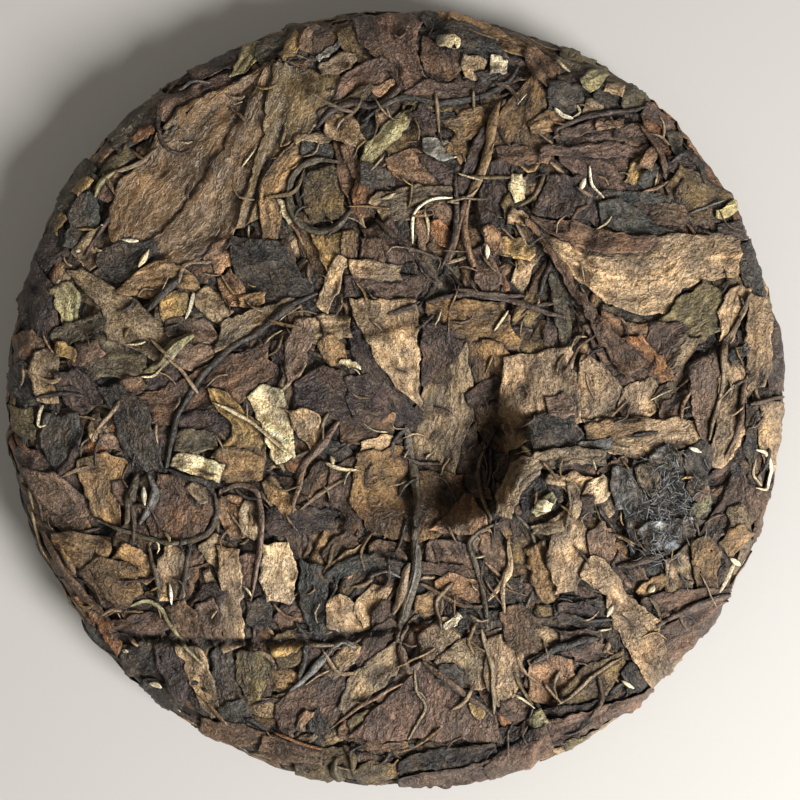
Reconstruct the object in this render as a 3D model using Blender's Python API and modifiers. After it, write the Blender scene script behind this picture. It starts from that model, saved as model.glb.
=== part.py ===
"""A pressed white-tea cake, hollow side up: one solid of compressed leaves.

The cake is a turned disc with a domed upper face, a rounded rim and a slightly
domed underside that ends in a flat spot. A slanting bowl, left by the knot of the
pressing bag, is sunk off centre in the upper face. The leaves and stems that show
on the surface are plates and rods laid on the disc, sunk into it and fused by one
Boolean union, so the whole is a single closed solid.

Units are metres, +Z is up, and the origin is under the cake's centre, on the
surface that it lies on.
"""

import math
import random

import bmesh
import bpy
from mathutils import Vector

MM = 0.001

# --- Driving dimensions -------------------------------------------------------
CAKE_RADIUS = 100 * MM        # widest, at mid height
CROWN_HEIGHT = 23.2 * MM      # top of the bare disc, before its leaves
CROWN_DROP = 3.0 * MM         # how far the upper face falls towards the rim
SHOULDER_RADIUS = 88 * MM     # where the upper face turns into the rim
RIM_HEIGHT = 11.5 * MM        # height of the widest ring
HEEL_RADIUS = 86 * MM         # where the rim turns into the underside
HEEL_HEIGHT = 2.5 * MM        # underside's height at the heel
FLAT_SPOT_RADIUS = 58 * MM    # the flat that the cake rests on

HOLLOW_DEPTH = 12 * MM
LIP_CENTRE = Vector((6, -6)) * MM
LIP_RADIUS = 26 * MM
FLOOR_CENTRE = Vector((11, -12)) * MM
FLOOR_RADIUS = 9 * MM

LEAF_STAND = 0.55 * MM        # least height of a leaf above the disc
LAYER_STEP = 0.2 * MM         # each overlapping layer stands this much higher
LAYER_COUNT = 6
LEAF_SINK = 2.0 * MM          # how deep a leaf's underside is sunk
TURN_STEPS = 60               # facets round the disc
SLIVER = 0.002 * MM           # edges shorter than this are closed up after the union
SEED = 350

SHOULDER_TOP = CROWN_HEIGHT - CROWN_DROP
SHOULDER_WIDTH = CAKE_RADIUS - SHOULDER_RADIUS
SHOULDER_DROP = SHOULDER_TOP - RIM_HEIGHT
HEEL_WIDTH = CAKE_RADIUS - HEEL_RADIUS
HEEL_DROP = RIM_HEIGHT - HEEL_HEIGHT


def quarter_run(a, b):
    """Length of a quarter of an ellipse with half axes a and b."""
    return math.pi / 4 * (3 * (a + b) - math.sqrt((3 * a + b) * (a + 3 * b)))


SHOULDER_RUN = quarter_run(SHOULDER_WIDTH, SHOULDER_DROP)
HEEL_RUN = quarter_run(HEEL_WIDTH, HEEL_DROP)

# Leaves that show most on the upper face, in millimetres as seen from above:
# foot, tip, and the width at the foot, the middle and the tip.
TOP_LEAVES = {
    "great_leaf": ((-62, 42), (-24, 88), (20, 30, 12)),
    "olive_fan": ((-34, 57), (-19, 84), (8, 16, 18)),
    "leaf_tongue": ((-45, 43), (-67, 26), (9, 9, 7)),
    "char_leaf": ((-41, 36), (-20, 31), (10, 14, 9)),
    "ridged_tan": ((-33, 40), (-22, 64), (9, 10, 6)),
    "rim_plum": ((-92, 14), (-85, 32), (9, 12, 8)),
    "tan_slab": ((-79, 28), (-55, 12), (9, 14, 10)),
    "arc_tan": ((-55, 8), (-33, 22), (10, 13, 5)),
    "veined_brown": ((-65, -3), (-36, 10), (14, 20, 12)),
    "long_char": ((-73, 4), (-60, -20), (12, 11, 5)),
    "block_char": ((-88, -3), (-82, -18), (12, 11, 4)),
    "left_tan": ((-72, -15), (-70, -31), (10, 13, 8)),
    "left_brown": ((-91, -18), (-79, -29), (7, 10, 8)),
    "loop_leaf": ((-57, -20), (-53, -36), (8, 17, 10)),
    "ochre_leaf": ((-45, 2), (-32, -13), (3, 11, 7)),
    "straw_leaf": ((-34, 2), (-28, -15), (7, 9, 5)),
    "hollow_tan": ((-3, 23), (4, -1), (18, 14, 3)),
    "hollow_floor": ((15, 13), (9, -18), (14, 17, 12)),
    "hollow_wall": ((23, 13), (24, -11), (12, 16, 10)),
    "hollow_lobe": ((-3, -14), (-2, -33), (12, 14, 12)),
    "plum_leaf": ((-24, 3), (-4, -4), (6, 13, 5)),
    "top_mauve": ((-15, 88), (24, 78), (14, 21, 10)),
    "top_bronze": ((11, 70), (36, 67), (8, 13, 14)),
    "copper_leaf": ((-2, 58), (13, 53), (7, 10, 4)),
    "plum_wedge": ((19, 57), (28, 44), (5, 13, 8)),
    "ribbed_mauve": ((39, 62), (63, 65), (7, 9, 5)),
    "wide_mauve": ((42, 58), (62, 54), (9, 11, 7)),
    "amber_rim": ((67, 69), (82, 50), (7, 9, 6)),
    "great_tan": ((37, 42), (68, 27), (6, 18, 14)),
    "tan_shoulder": ((64, 38), (86, 32), (12, 13, 11)),
    "dark_mid": ((28, 34), (44, 24), (8, 11, 8)),
    "crinkled_tan": ((33, 3), (56, 1), (16, 17, 8)),
    "square_tan": ((60, 3), (66, -13), (9, 13, 11)),
    "olive_ribs": ((70, 19), (84, 27), (7, 12, 8)),
    "right_strip": ((89, 24), (81, -16), (6, 8, 5)),
    "slate_leaf": ((62, -20), (76, -40), (16, 18, 8)),
    "tan_strap": ((47, -42), (67, -70), (9, 11, 9)),
    "right_mauve": ((64, -56), (82, -50), (10, 12, 6)),
    "copper_low": ((33, -73), (46, -66), (9, 12, 8)),
    "olive_low": ((41, -75), (56, -67), (9, 11, 6)),
    "low_tan": ((11, -67), (31, -70), (9, 15, 10)),
    "low_mauve": ((-10, -83), (24, -80), (10, 20, 12)),
    "taupe_strap": ((0, -60), (-15, -76), (7, 11, 6)),
    "plum_low": ((-31, -77), (-12, -72), (10, 11, 6)),
    "taupe_post": ((-43, -33), (-41, -62), (9, 7, 5)),
    "char_low": ((-21, -42), (-20, -57), (10, 11, 8)),
    "tan_chip": ((-9, -48), (-3, -56), (8, 9, 5)),
    "bronze_low": ((-77, -46), (-66, -49), (9, 11, 7)),
}

# Stems pressed into the upper face: radius, then the points they run through.
TOP_STEMS = {
    "great_arc": (1.1, (-18, 24), (-32, 17), (-45, 8), (-53, -1), (-57, -13), (-58, -19)),
    "loop": (0.8, (-57, -19), (-48, -21), (-45, -26), (-47, -32), (-52, -36), (-62, -35), (-76, -30)),
    "staple": (0.8, (-44, -25), (-40, -22), (-35, -23), (-33, -28), (-34, -41), (-36, -51)),
    "post": (1.0, (2, -30), (4, -38), (4, -48), (1, -61)),
    "fork": (0.9, (8, -66), (16, -73), (23, -80)),
    "cane": (0.8, (26, -34), (20, -35), (18, -38), (21, -45), (23, -57)),
    "spine": (0.9, (24, 73), (22, 62), (18, 51), (16, 39), (18, 31)),
    "right_arc": (0.9, (33, 44), (41, 33), (51, 24), (61, 18)),
    "top_arc": (1.0, (-17, 71), (-7, 72), (1, 75), (13, 74), (23, 76), (30, 82)),
    "cross": (0.8, (6, 24), (18, 24), (33, 24), (42, 20)),
}

SIDE_LEAVES = 26              # laid round the rim by rule
UNDER_LEAVES = 22             # laid on the underside's slope by rule


# --- The disc -----------------------------------------------------------------
def crown(radius):
    """Height of the upper face, without its hollow."""
    return CROWN_HEIGHT - CROWN_DROP * (radius / SHOULDER_RADIUS) ** 3


def hollow(x, y):
    """Depth of the bowl at a place: a slanting cone between a lip circle and a floor circle."""
    place = Vector((x, y)) - LIP_CENTRE
    lean = FLOOR_CENTRE - LIP_CENTRE
    shrink = LIP_RADIUS - FLOOR_RADIUS
    # Solves |place - t * lean| = LIP_RADIUS - t * shrink for the share t of the way down.
    a = lean.length_squared - shrink**2
    b = place.dot(lean) - LIP_RADIUS * shrink
    c = place.length_squared - LIP_RADIUS**2
    share = (b + math.sqrt(max(b * b - a * c, 0))) / a
    share = min(max(share, 0), 1)
    return HOLLOW_DEPTH * share * share * (3 - 2 * share)


def swell(x, y):
    """The slow unevenness that hand pressing leaves in the upper face."""
    u, v = x / CAKE_RADIUS, y / CAKE_RADIUS
    wave = math.sin(4.1 * u + 1.3) * math.cos(3.3 * v) + 0.6 * math.sin(7.3 * v - 4.7 * u)
    return 0.45 * MM * wave


def rim_stretch(angle):
    """How much the rim's radius wanders from a true circle, by under one part in a hundred."""
    slow = 0.004 * math.sin(3 * angle + 0.6)
    return 1 + slow + 0.003 * math.sin(7 * angle) + 0.002 * math.sin(13 * angle)


def on_top(x, y, lift):
    """Carries a place on the flat map of the upper face onto the cake, lift above it.

    The map is true to scale: beyond the shoulder it wraps round the rim."""
    run = math.hypot(x, y)
    angle = math.atan2(y, x)
    past = run - SHOULDER_RADIUS
    if past <= 0:
        height = crown(run) - hollow(x, y) + swell(x, y) + lift
        return Vector((x, y, height))
    turn = past / SHOULDER_RUN * math.pi / 2
    if turn <= math.pi / 2:
        wide, tall = SHOULDER_WIDTH, SHOULDER_DROP
        start = SHOULDER_RADIUS
    else:
        turn = math.pi / 2 + (past - SHOULDER_RUN) / HEEL_RUN * math.pi / 2
        wide, tall = HEEL_WIDTH, HEEL_DROP
        start = HEEL_RADIUS
    out = Vector((tall * math.sin(turn), wide * math.cos(turn))).normalized()
    radius = (start + wide * math.sin(turn)) * rim_stretch(angle) + lift * out.x
    flatter = max(math.cos(turn), 0)
    height = RIM_HEIGHT + tall * math.cos(turn) + lift * out.y + flatter * swell(x, y)
    return Vector((radius * math.cos(angle), radius * math.sin(angle), height))


def under(radius):
    """Height of the underside's slope."""
    past = max(radius - FLAT_SPOT_RADIUS, 0)
    return HEEL_HEIGHT * (past / (HEEL_RADIUS - FLAT_SPOT_RADIUS)) ** 1.6


def on_underside(x, y, lift):
    """Carries a place on the flat map of the underside onto the cake, lift out of it."""
    return Vector((x, y, under(math.hypot(x, y)) - lift))


def disc_profile():
    """(radius, height) down the disc's outer side, from the top's centre to the underside's."""
    top = [(r * MM, crown(r * MM)) for r in (0, 6, 12, 18, 24, 30, 36, 44, 54, 64, 76)]
    shoulder = []
    for step in range(6):
        turn = math.pi / 2 * step / 5
        radius = SHOULDER_RADIUS + SHOULDER_WIDTH * math.sin(turn)
        shoulder.append((radius, RIM_HEIGHT + SHOULDER_DROP * math.cos(turn)))
    heel = []
    for step in range(1, 5):
        turn = math.pi / 2 * step / 4
        radius = HEEL_RADIUS + HEEL_WIDTH * math.cos(turn)
        heel.append((radius, RIM_HEIGHT - HEEL_DROP * math.sin(turn)))
    base = [(r * MM, under(r * MM)) for r in (77, 67, 58)] + [(0, 0)]
    return top + shoulder + heel + base


def make_disc(collection):
    """The bare disc: a turned profile, with the hollow and the unevenness pressed in."""
    profile = bmesh.new()
    corners = [profile.verts.new((radius, 0, height)) for radius, height in disc_profile()]
    for upper, lower in zip(corners, corners[1:]):
        profile.edges.new((upper, lower))
    outline = bpy.data.meshes.new("disc_outline")
    profile.to_mesh(outline)
    profile.free()
    turned = bpy.data.objects.new("disc_outline", outline)
    collection.objects.link(turned)
    screw = turned.modifiers.new("turn", "SCREW")
    screw.steps = screw.render_steps = TURN_STEPS
    screw.use_merge_vertices = True
    screw.merge_threshold = 0.00001
    graph = bpy.context.evaluated_depsgraph_get()
    mesh = bpy.data.meshes.new_from_object(turned.evaluated_get(graph))
    bpy.data.objects.remove(turned)

    for vertex in mesh.vertices:
        x, y, height = vertex.co
        radius = math.hypot(x, y)
        stretch = rim_stretch(math.atan2(y, x)) if radius > HEEL_RADIUS else 1
        if height > RIM_HEIGHT:
            flatter = min(1, (height - RIM_HEIGHT) / SHOULDER_DROP)
            height += flatter * swell(x, y) - hollow(x, y)
        vertex.co = (x * stretch, y * stretch, height)
    mesh.name = "tea_cake"
    disc = bpy.data.objects.new("tea_cake", mesh)
    collection.objects.link(disc)
    return disc


# --- Leaves and stems ---------------------------------------------------------
def map_place(x, y):
    """Where a place seen from above lies on the flat map, which unrolls the rim."""
    seen = math.hypot(x, y)
    if seen <= SHOULDER_RADIUS:
        return x, y
    share = min((seen - SHOULDER_RADIUS) / SHOULDER_WIDTH, 1)
    run = SHOULDER_RADIUS + SHOULDER_RUN * math.asin(share) / (math.pi / 2)
    return x * run / seen, y * run / seen


def width_at(share, widths):
    """Width of a leaf part of the way from foot to tip, through its middle width."""
    foot, middle, tip = widths
    bulge = 4 * share * (1 - share)
    return (foot * (1 - share) + tip * share) * (1 - bulge) + middle * bulge


def make_leaf(collection, name, foot, tip, widths, carrier, stand, rng):
    """A thin wavy plate with a torn outline, its underside sunk in the disc."""
    foot, tip = Vector(foot), Vector(tip)
    spine = tip - foot
    across = Vector((-spine.y, spine.x)).normalized()
    along_steps = max(2, min(5, round(spine.length / (7 * MM))))
    across_steps = 2 if max(widths) * MM < 14 * MM else 3

    plate = bmesh.new()
    bmesh.ops.create_grid(plate, x_segments=along_steps, y_segments=across_steps, size=1)
    sunk = list(plate.verts)
    raised = bmesh.ops.extrude_face_region(plate, geom=list(plate.faces))["geom"]
    raised = {item for item in raised if isinstance(item, bmesh.types.BMVert)}
    torn = {(round(v.co.x, 3), round(v.co.y, 3)): rng.uniform(0.84, 1.0) for v in sunk}
    wave = rng.uniform(0, 6)
    for vertex in plate.verts:
        u, v = vertex.co.x, vertex.co.y
        at_edge = abs(v) > 0.99 or abs(u) > 0.99
        tear = torn[(round(u, 3), round(v, 3))] if at_edge else 1
        share = (u * tear + 1) / 2
        reach = v * tear * width_at(share, widths) * MM / 2
        place = foot + spine * share + across * reach
        ripple = 0.16 * MM * math.sin(wave + 7 * share + 3 * v)
        lift = stand + ripple if vertex in raised else -LEAF_SINK
        vertex.co = carrier(place.x, place.y, lift)
    bmesh.ops.triangulate(plate, faces=list(plate.faces))
    bmesh.ops.recalc_face_normals(plate, faces=list(plate.faces))
    mesh = bpy.data.meshes.new(name)
    plate.to_mesh(mesh)
    plate.free()
    collection.objects.link(bpy.data.objects.new(name, mesh))


def smooth_route(points, steps):
    """Points read from a smooth curve through the given ones."""
    route = []
    ends = [points[0]] + points + [points[-1]]
    for before, start, end, after in zip(ends, ends[1:], ends[2:], ends[3:]):
        for step in range(steps):
            t = step / steps
            bend = (2 * before - 5 * start + 4 * end - after) * t * t
            twist = (3 * start - before - 3 * end + after) * t**3
            route.append((2 * start + (end - before) * t + bend + twist) / 2)
    return route + [points[-1]]


def make_stem(collection, name, radius, places):
    """A rod that follows the cake's surface, sunk to its middle."""
    flat = [Vector(place) * MM for place in places]
    curve = bpy.data.curves.new(name, "CURVE")
    curve.dimensions = "3D"
    curve.bevel_depth = radius * MM
    curve.bevel_resolution = 1
    curve.use_fill_caps = True
    route = smooth_route(flat, 2)
    spline = curve.splines.new("POLY")
    spline.points.add(len(route) - 1)
    for point, place in zip(spline.points, route):
        point.co = (*on_top(*map_place(*place), LEAF_STAND), 1)
    rod = bpy.data.objects.new(name, curve)
    collection.objects.link(rod)
    graph = bpy.context.evaluated_depsgraph_get()
    mesh = bpy.data.meshes.new_from_object(rod.evaluated_get(graph))
    bpy.data.objects.remove(rod)
    welded = bmesh.new()
    welded.from_mesh(mesh)
    bmesh.ops.remove_doubles(welded, verts=list(welded.verts), dist=0.01 * MM)
    bmesh.ops.recalc_face_normals(welded, faces=list(welded.faces))
    welded.to_mesh(mesh)
    welded.free()
    collection.objects.link(bpy.data.objects.new(name, mesh))


def stand_of(layer):
    """Height of a leaf's face above the disc, by its turn in the pile."""
    return LEAF_STAND + LAYER_STEP * (layer % LAYER_COUNT)


def lay_top_leaves(collection, rng):
    for layer, (name, (foot, tip, widths)) in enumerate(TOP_LEAVES.items()):
        foot = map_place(foot[0] * MM, foot[1] * MM)
        tip = map_place(tip[0] * MM, tip[1] * MM)
        make_leaf(collection, name, foot, tip, widths, on_top, stand_of(layer), rng)


def lay_side_leaves(collection, rng):
    """Leaves that lie along the rim, spread evenly round it."""
    for index in range(SIDE_LEAVES):
        angle = math.tau * (index + rng.uniform(-0.25, 0.25)) / SIDE_LEAVES
        run = SHOULDER_RADIUS + SHOULDER_RUN * rng.uniform(0.55, 1.25)
        half = rng.uniform(6, 10) * MM / CAKE_RADIUS
        slant = rng.uniform(-3, 3) * MM
        ends = [(run + slant * side, angle + half * side) for side in (-1, 1)]
        foot, tip = [(r * math.cos(a), r * math.sin(a)) for r, a in ends]
        widths = (rng.uniform(3, 6), rng.uniform(6, 9), rng.uniform(2, 5))
        stand = 0.5 * stand_of(index)
        make_leaf(collection, f"side_leaf_{index}", foot, tip, widths, on_top, stand, rng)


def lay_under_leaves(collection, rng):
    """Leaves on the underside's slope, clear of the flat spot."""
    for index in range(UNDER_LEAVES):
        angle = math.tau * (index + rng.uniform(-0.2, 0.2)) / UNDER_LEAVES
        middle = Vector((math.cos(angle), math.sin(angle))) * rng.uniform(75, 78) * MM
        turn = angle + math.pi / 2 + rng.uniform(-0.5, 0.5)
        half = Vector((math.cos(turn), math.sin(turn))) * rng.uniform(6, 9) * MM
        widths = (rng.uniform(4, 7), rng.uniform(7, 10), rng.uniform(3, 6))
        foot, tip = middle - half, middle + half
        stand = 0.3 * stand_of(index)
        make_leaf(collection, f"under_leaf_{index}", foot, tip, widths, on_underside, stand, rng)


def fuse(disc, pieces):
    """Joins every leaf and stem to the disc and drops the loose pieces."""
    union = disc.modifiers.new("fuse", "BOOLEAN")
    union.operation = "UNION"
    union.operand_type = "COLLECTION"
    union.collection = pieces
    union.solver = "MANIFOLD"
    graph = bpy.context.evaluated_depsgraph_get()
    fused = bpy.data.meshes.new_from_object(disc.evaluated_get(graph))
    disc.modifiers.remove(union)
    disc.data = fused
    for piece in list(pieces.objects):
        bpy.data.objects.remove(piece)
    bpy.data.collections.remove(pieces)


def tidy(disc):
    """Welds slivers, makes every face a triangle and centres the cake over its origin."""
    mesh = bmesh.new()
    mesh.from_mesh(disc.data)
    bmesh.ops.dissolve_degenerate(mesh, edges=list(mesh.edges), dist=SLIVER)
    bmesh.ops.triangulate(mesh, faces=list(mesh.faces))
    across = [vertex.co.x for vertex in mesh.verts]
    along = [vertex.co.y for vertex in mesh.verts]
    middle = Vector((min(across) + max(across), min(along) + max(along), 0)) / 2
    bmesh.ops.translate(mesh, verts=list(mesh.verts), vec=-middle)
    mesh.to_mesh(disc.data)
    mesh.free()


# --- Finish -------------------------------------------------------------------
def pressed_leaf_material():
    material = bpy.data.materials.new("pressed_tea_leaf")
    material.use_nodes = True
    shader = material.node_tree.nodes["Principled BSDF"]
    shader.inputs["Base Color"].default_value = (0.13, 0.09, 0.06, 1)
    shader.inputs["Roughness"].default_value = 0.6
    shader.inputs["Metallic"].default_value = 0
    return material


def build():
    for old in list(bpy.data.objects):
        bpy.data.objects.remove(old)
    rng = random.Random(SEED)
    cake = bpy.data.collections.new("pressed_tea_cake")
    bpy.context.scene.collection.children.link(cake)
    pieces = bpy.data.collections.new("leaves_and_stems")
    bpy.context.scene.collection.children.link(pieces)

    disc = make_disc(cake)
    lay_side_leaves(pieces, rng)
    lay_under_leaves(pieces, rng)
    lay_top_leaves(pieces, rng)
    for name, (radius, *places) in TOP_STEMS.items():
        make_stem(pieces, name, radius, places)
    fuse(disc, pieces)
    tidy(disc)
    disc.data.materials.clear()
    disc.data.materials.append(pressed_leaf_material())
    disc.data.set_sharp_from_angle(angle=math.radians(30))
    triangles = len(disc.data.polygons)
    print(f"tea_cake: {triangles} triangles")


build()
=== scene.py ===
# %% [markdown]
# A pressed white-tea cake, built leaf by leaf. The real thing is a disc of whole withered leaves,
# stems and silver buds, steamed soft, twisted shut in a cloth bag and pressed under a stone. The
# knot of the bag leaves the hollow in its upper face. It could be one displaced disc, but torn
# edges, overlaps and crevices only look right when they are real. So every leaf here is a thin
# solid of its own, laid in order on what lies below it, as a height kept on a flat map of the disc.

# %% Load the frame
import math

import bmesh
import bpy
import numpy as np
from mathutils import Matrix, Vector


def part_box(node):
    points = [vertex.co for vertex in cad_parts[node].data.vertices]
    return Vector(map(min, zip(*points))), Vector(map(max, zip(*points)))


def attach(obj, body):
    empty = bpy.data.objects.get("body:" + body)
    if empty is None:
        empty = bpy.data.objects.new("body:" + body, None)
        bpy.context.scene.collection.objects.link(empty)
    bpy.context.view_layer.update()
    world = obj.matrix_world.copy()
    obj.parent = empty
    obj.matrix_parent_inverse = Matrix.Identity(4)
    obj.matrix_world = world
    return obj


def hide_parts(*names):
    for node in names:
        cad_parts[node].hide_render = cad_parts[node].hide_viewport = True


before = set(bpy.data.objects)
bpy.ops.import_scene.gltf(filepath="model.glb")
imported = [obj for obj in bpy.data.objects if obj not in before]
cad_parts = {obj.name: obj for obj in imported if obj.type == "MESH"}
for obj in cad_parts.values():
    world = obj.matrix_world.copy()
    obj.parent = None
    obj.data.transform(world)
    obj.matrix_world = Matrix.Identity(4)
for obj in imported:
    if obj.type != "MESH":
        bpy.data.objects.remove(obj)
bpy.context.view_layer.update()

low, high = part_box("tea_cake")
print("the solid cake spans", [round(1000 * side, 1) for side in high - low], "mm")

# %% [markdown]
# Lengths below are in millimetres, as a maker would measure them, and become metres only when a
# mesh is written. The disc is described by its profile: a crown that falls slowly from the middle,
# a shoulder and a heel that are quarter ellipses, and an underside that rises from a flat spot.

# %% Driving dimensions
MM = 0.001
LEAVES_BESIDE, LEAVES_ABOVE = 0.3, 2.0  # how far leaves stand out past the bare disc
RIM_RADIUS = (high.x - low.x) / MM / 2 - LEAVES_BESIDE
CROWN_HEIGHT = (high.z - low.z) / MM - LEAVES_ABOVE
CROWN_DROP = 3.0                        # from the middle to the shoulder
SHOULDER_RADIUS = 0.88 * RIM_RADIUS
RIM_HEIGHT = CROWN_HEIGHT / 2           # of the widest ring
HEEL_RADIUS = 0.86 * RIM_RADIUS
HEEL_HEIGHT = 2.5
FLAT_SPOT_RADIUS = 58.0
HOLLOW_DEPTH = 13.0
LIP_CENTRE, LIP_RADIUS = (2.8, -12.2), 25.6
FLOOR_CENTRE, FLOOR_RADIUS = (10.8, -24.2), 8.6
SWELL_HEIGHT = 0.45
CORE_SINK = 1.5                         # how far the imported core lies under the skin

SHOULDER_TOP = CROWN_HEIGHT - CROWN_DROP
SHOULDER_WIDTH, SHOULDER_FALL = RIM_RADIUS - SHOULDER_RADIUS, SHOULDER_TOP - RIM_HEIGHT
HEEL_WIDTH, HEEL_FALL = RIM_RADIUS - HEEL_RADIUS, RIM_HEIGHT - HEEL_HEIGHT


def quarter_run(a, b):
    """Length of a quarter of an ellipse with half axes a and b."""
    return math.pi / 4 * (3 * (a + b) - math.sqrt((3 * a + b) * (a + 3 * b)))


SHOULDER_RUN = quarter_run(SHOULDER_WIDTH, SHOULDER_FALL)
HEEL_RUN = quarter_run(HEEL_WIDTH, HEEL_FALL)
MAP_EDGE = SHOULDER_RADIUS + SHOULDER_RUN + HEEL_RUN
print(f"the top map reaches {MAP_EDGE:.1f} mm from the middle, round the rim to the heel")

# %% [markdown]
# Randomness comes from one seeded generator, so the cake is the same each time. The noise is a
# lattice of random numbers with smooth hills between them: cheap, and it works on whole arrays.

# %% Seeded randomness and noise
rng = np.random.default_rng(350)
LATTICE = rng.random((256, 256))


def noise(x, y):
    """Smooth random values from 0 to 1, with about one hill or dip to each unit."""
    i, j = np.floor(x).astype(int), np.floor(y).astype(int)
    u, v = x - i, y - j
    u, v = u * u * (3 - 2 * u), v * v * (3 - 2 * v)
    i, j, right, up = i & 255, j & 255, (i + 1) & 255, (j + 1) & 255
    near = LATTICE[i, j] * (1 - u) + LATTICE[right, j] * u
    far = LATTICE[i, up] * (1 - u) + LATTICE[right, up] * u
    return near * (1 - v) + far * v


def ridged(x, y):
    """Noise folded at its middle, so that it has sharp crests like crumpled paper."""
    return 1 - np.abs(2 * noise(x, y) - 1)


def smoothstep(value):
    """A soft step that rises from 0 at 0 to 1 at 1."""
    value = np.clip(value, 0, 1)
    return value * value * (3 - 2 * value)


# %% [markdown]
# The skin of the disc is a function from a flat map to space. Inside the shoulder the map is the
# view from above. Beyond it the map keeps true lengths and wraps round the rim, as paper would.
# The hollow is a slanting cone between a lip circle and a smaller floor circle beside its middle,
# which makes one side a gentle slope and the other a steep wall.

# %% The skin as a function of the map
STEP = 0.05


def hollow(x, y):
    """Depth of the knot's hollow: the share of the way from lip to floor, found from a quadratic."""
    px, py = x - LIP_CENTRE[0], y - LIP_CENTRE[1]
    lean_x, lean_y = FLOOR_CENTRE[0] - LIP_CENTRE[0], FLOOR_CENTRE[1] - LIP_CENTRE[1]
    shrink = LIP_RADIUS - FLOOR_RADIUS
    a = lean_x**2 + lean_y**2 - shrink**2
    b = px * lean_x + py * lean_y - LIP_RADIUS * shrink
    c = px**2 + py**2 - LIP_RADIUS**2
    share = (b + np.sqrt(np.maximum(b * b - a * c, 0))) / a
    return HOLLOW_DEPTH * smoothstep(share)


def swell(x, y):
    """The slow unevenness that hand pressing leaves."""
    u, v = x / 100, y / 100
    wave = np.sin(4.1 * u + 1.3) * np.cos(3.3 * v) + 0.6 * np.sin(7.3 * v - 4.7 * u)
    return SWELL_HEIGHT * wave


def rim_stretch(angle):
    """How much the outline leaves its circle."""
    slow = 0.004 * np.sin(3 * angle + 0.6)
    return 1 + slow + 0.003 * np.sin(7 * angle) + 0.002 * np.sin(13 * angle)


def top_point(x, y):
    """Points of the bare skin at places of the top map."""
    run, angle = np.hypot(x, y), np.arctan2(y, x)
    past = run - SHOULDER_RADIUS
    shoulder_turn = np.clip(past / SHOULDER_RUN, 0, 1) * math.pi / 2
    heel_turn = np.clip((past - SHOULDER_RUN) / HEEL_RUN, 0, 1) * math.pi / 2
    over = past > SHOULDER_RUN
    radius = np.where(over, HEEL_RADIUS + HEEL_WIDTH * np.cos(heel_turn),
                      SHOULDER_RADIUS + SHOULDER_WIDTH * np.sin(shoulder_turn))
    height = np.where(over, RIM_HEIGHT - HEEL_FALL * np.sin(heel_turn),
                      RIM_HEIGHT + SHOULDER_FALL * np.cos(shoulder_turn)
                      + np.cos(shoulder_turn) * swell(x, y))
    crown = CROWN_HEIGHT - CROWN_DROP * (run / SHOULDER_RADIUS) ** 3 - hollow(x, y) + swell(x, y)
    flat = past <= 0
    radius = np.where(flat, run, radius * rim_stretch(angle))
    height = np.where(flat, crown, height)
    return np.stack([radius * np.cos(angle), radius * np.sin(angle), height], axis=-1)


def under_point(x, y):
    """Points of the underside, whose map is the view from below."""
    past = np.maximum(np.hypot(x, y) - FLAT_SPOT_RADIUS, 0)
    height = HEEL_HEIGHT * (past / (HEEL_RADIUS - FLAT_SPOT_RADIUS)) ** 1.6
    return np.stack([-x, y, height], axis=-1)


def with_normals(point, x, y):
    """Points of a skin and its unit normals, from two short steps on its map."""
    here = point(x, y)
    normal = np.cross(point(x + STEP, y) - here, point(x, y + STEP) - here)
    return here, normal / np.linalg.norm(normal, axis=-1, keepdims=True)


def unroll(x, y):
    """Takes places of the disc, seen straight from above, to the top map."""
    over = np.hypot(x, y)
    share = np.clip((over - SHOULDER_RADIUS) / SHOULDER_WIDTH, 0, 1)
    run = SHOULDER_RADIUS + SHOULDER_RUN * np.arcsin(share) / (math.pi / 2)
    run = np.where(over <= SHOULDER_RADIUS, over, run + 2 * np.maximum(over - RIM_RADIUS, 0))
    grow = run / np.maximum(over, 1e-6)
    return x * grow, y * grow


# %% [markdown]
# The leaves that give this cake its face are set out on a plan: a square of 800 by 800 units, four
# to the millimetre, counted from its upper left corner, as the camera sees the cake. A ray from
# the camera through a place of the plan finds its place on the skin, so that tilt and perspective
# need not be drawn into the plan.

# %% The camera and its plan
PLAN_SIDE = 800
PLAN_UNITS_PER_MM = 4
CAMERA_DISTANCE = 300.0
CAMERA_AIM = Vector((0.19, -1.94, RIM_HEIGHT))
CAMERA_BACK = Vector((-0.0175, -0.0349, 1.0)).normalized()
FOCAL_UNITS = 1165.3                    # focal length, in units of the plan

camera_place = CAMERA_AIM + CAMERA_BACK * CAMERA_DISTANCE
camera_turn = CAMERA_BACK.to_track_quat("Z", "Y")


def skin_height(x, y):
    """Height of the skin over places seen straight from above."""
    over = np.hypot(x, y)
    fall = np.sqrt(np.clip(1 - ((over - SHOULDER_RADIUS) / SHOULDER_WIDTH) ** 2, 0, 1))
    crown = CROWN_HEIGHT - CROWN_DROP * (over / SHOULDER_RADIUS) ** 3 - hollow(x, y)
    return np.where(over < SHOULDER_RADIUS, crown, RIM_HEIGHT + SHOULDER_FALL * fall)


def from_plan(u, v):
    """Takes places of the camera's plan to the top map."""
    half = PLAN_SIDE / 2
    turn = np.array(camera_turn.to_matrix())
    rays = np.stack([(u - half) / FOCAL_UNITS, (half - v) / FOCAL_UNITS, -np.ones_like(u)], axis=-1)
    rays = rays @ turn.T
    height = np.full_like(u, SHOULDER_TOP)
    for _ in range(8):  # the ray's height settles on the skin in a few steps
        reach = (height - camera_place.z) / rays[..., 2]
        x, y = camera_place.x + reach * rays[..., 0], camera_place.y + reach * rays[..., 1]
        height = 0.3 * height + 0.7 * skin_height(x, y)
    return unroll(x, y)


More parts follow.
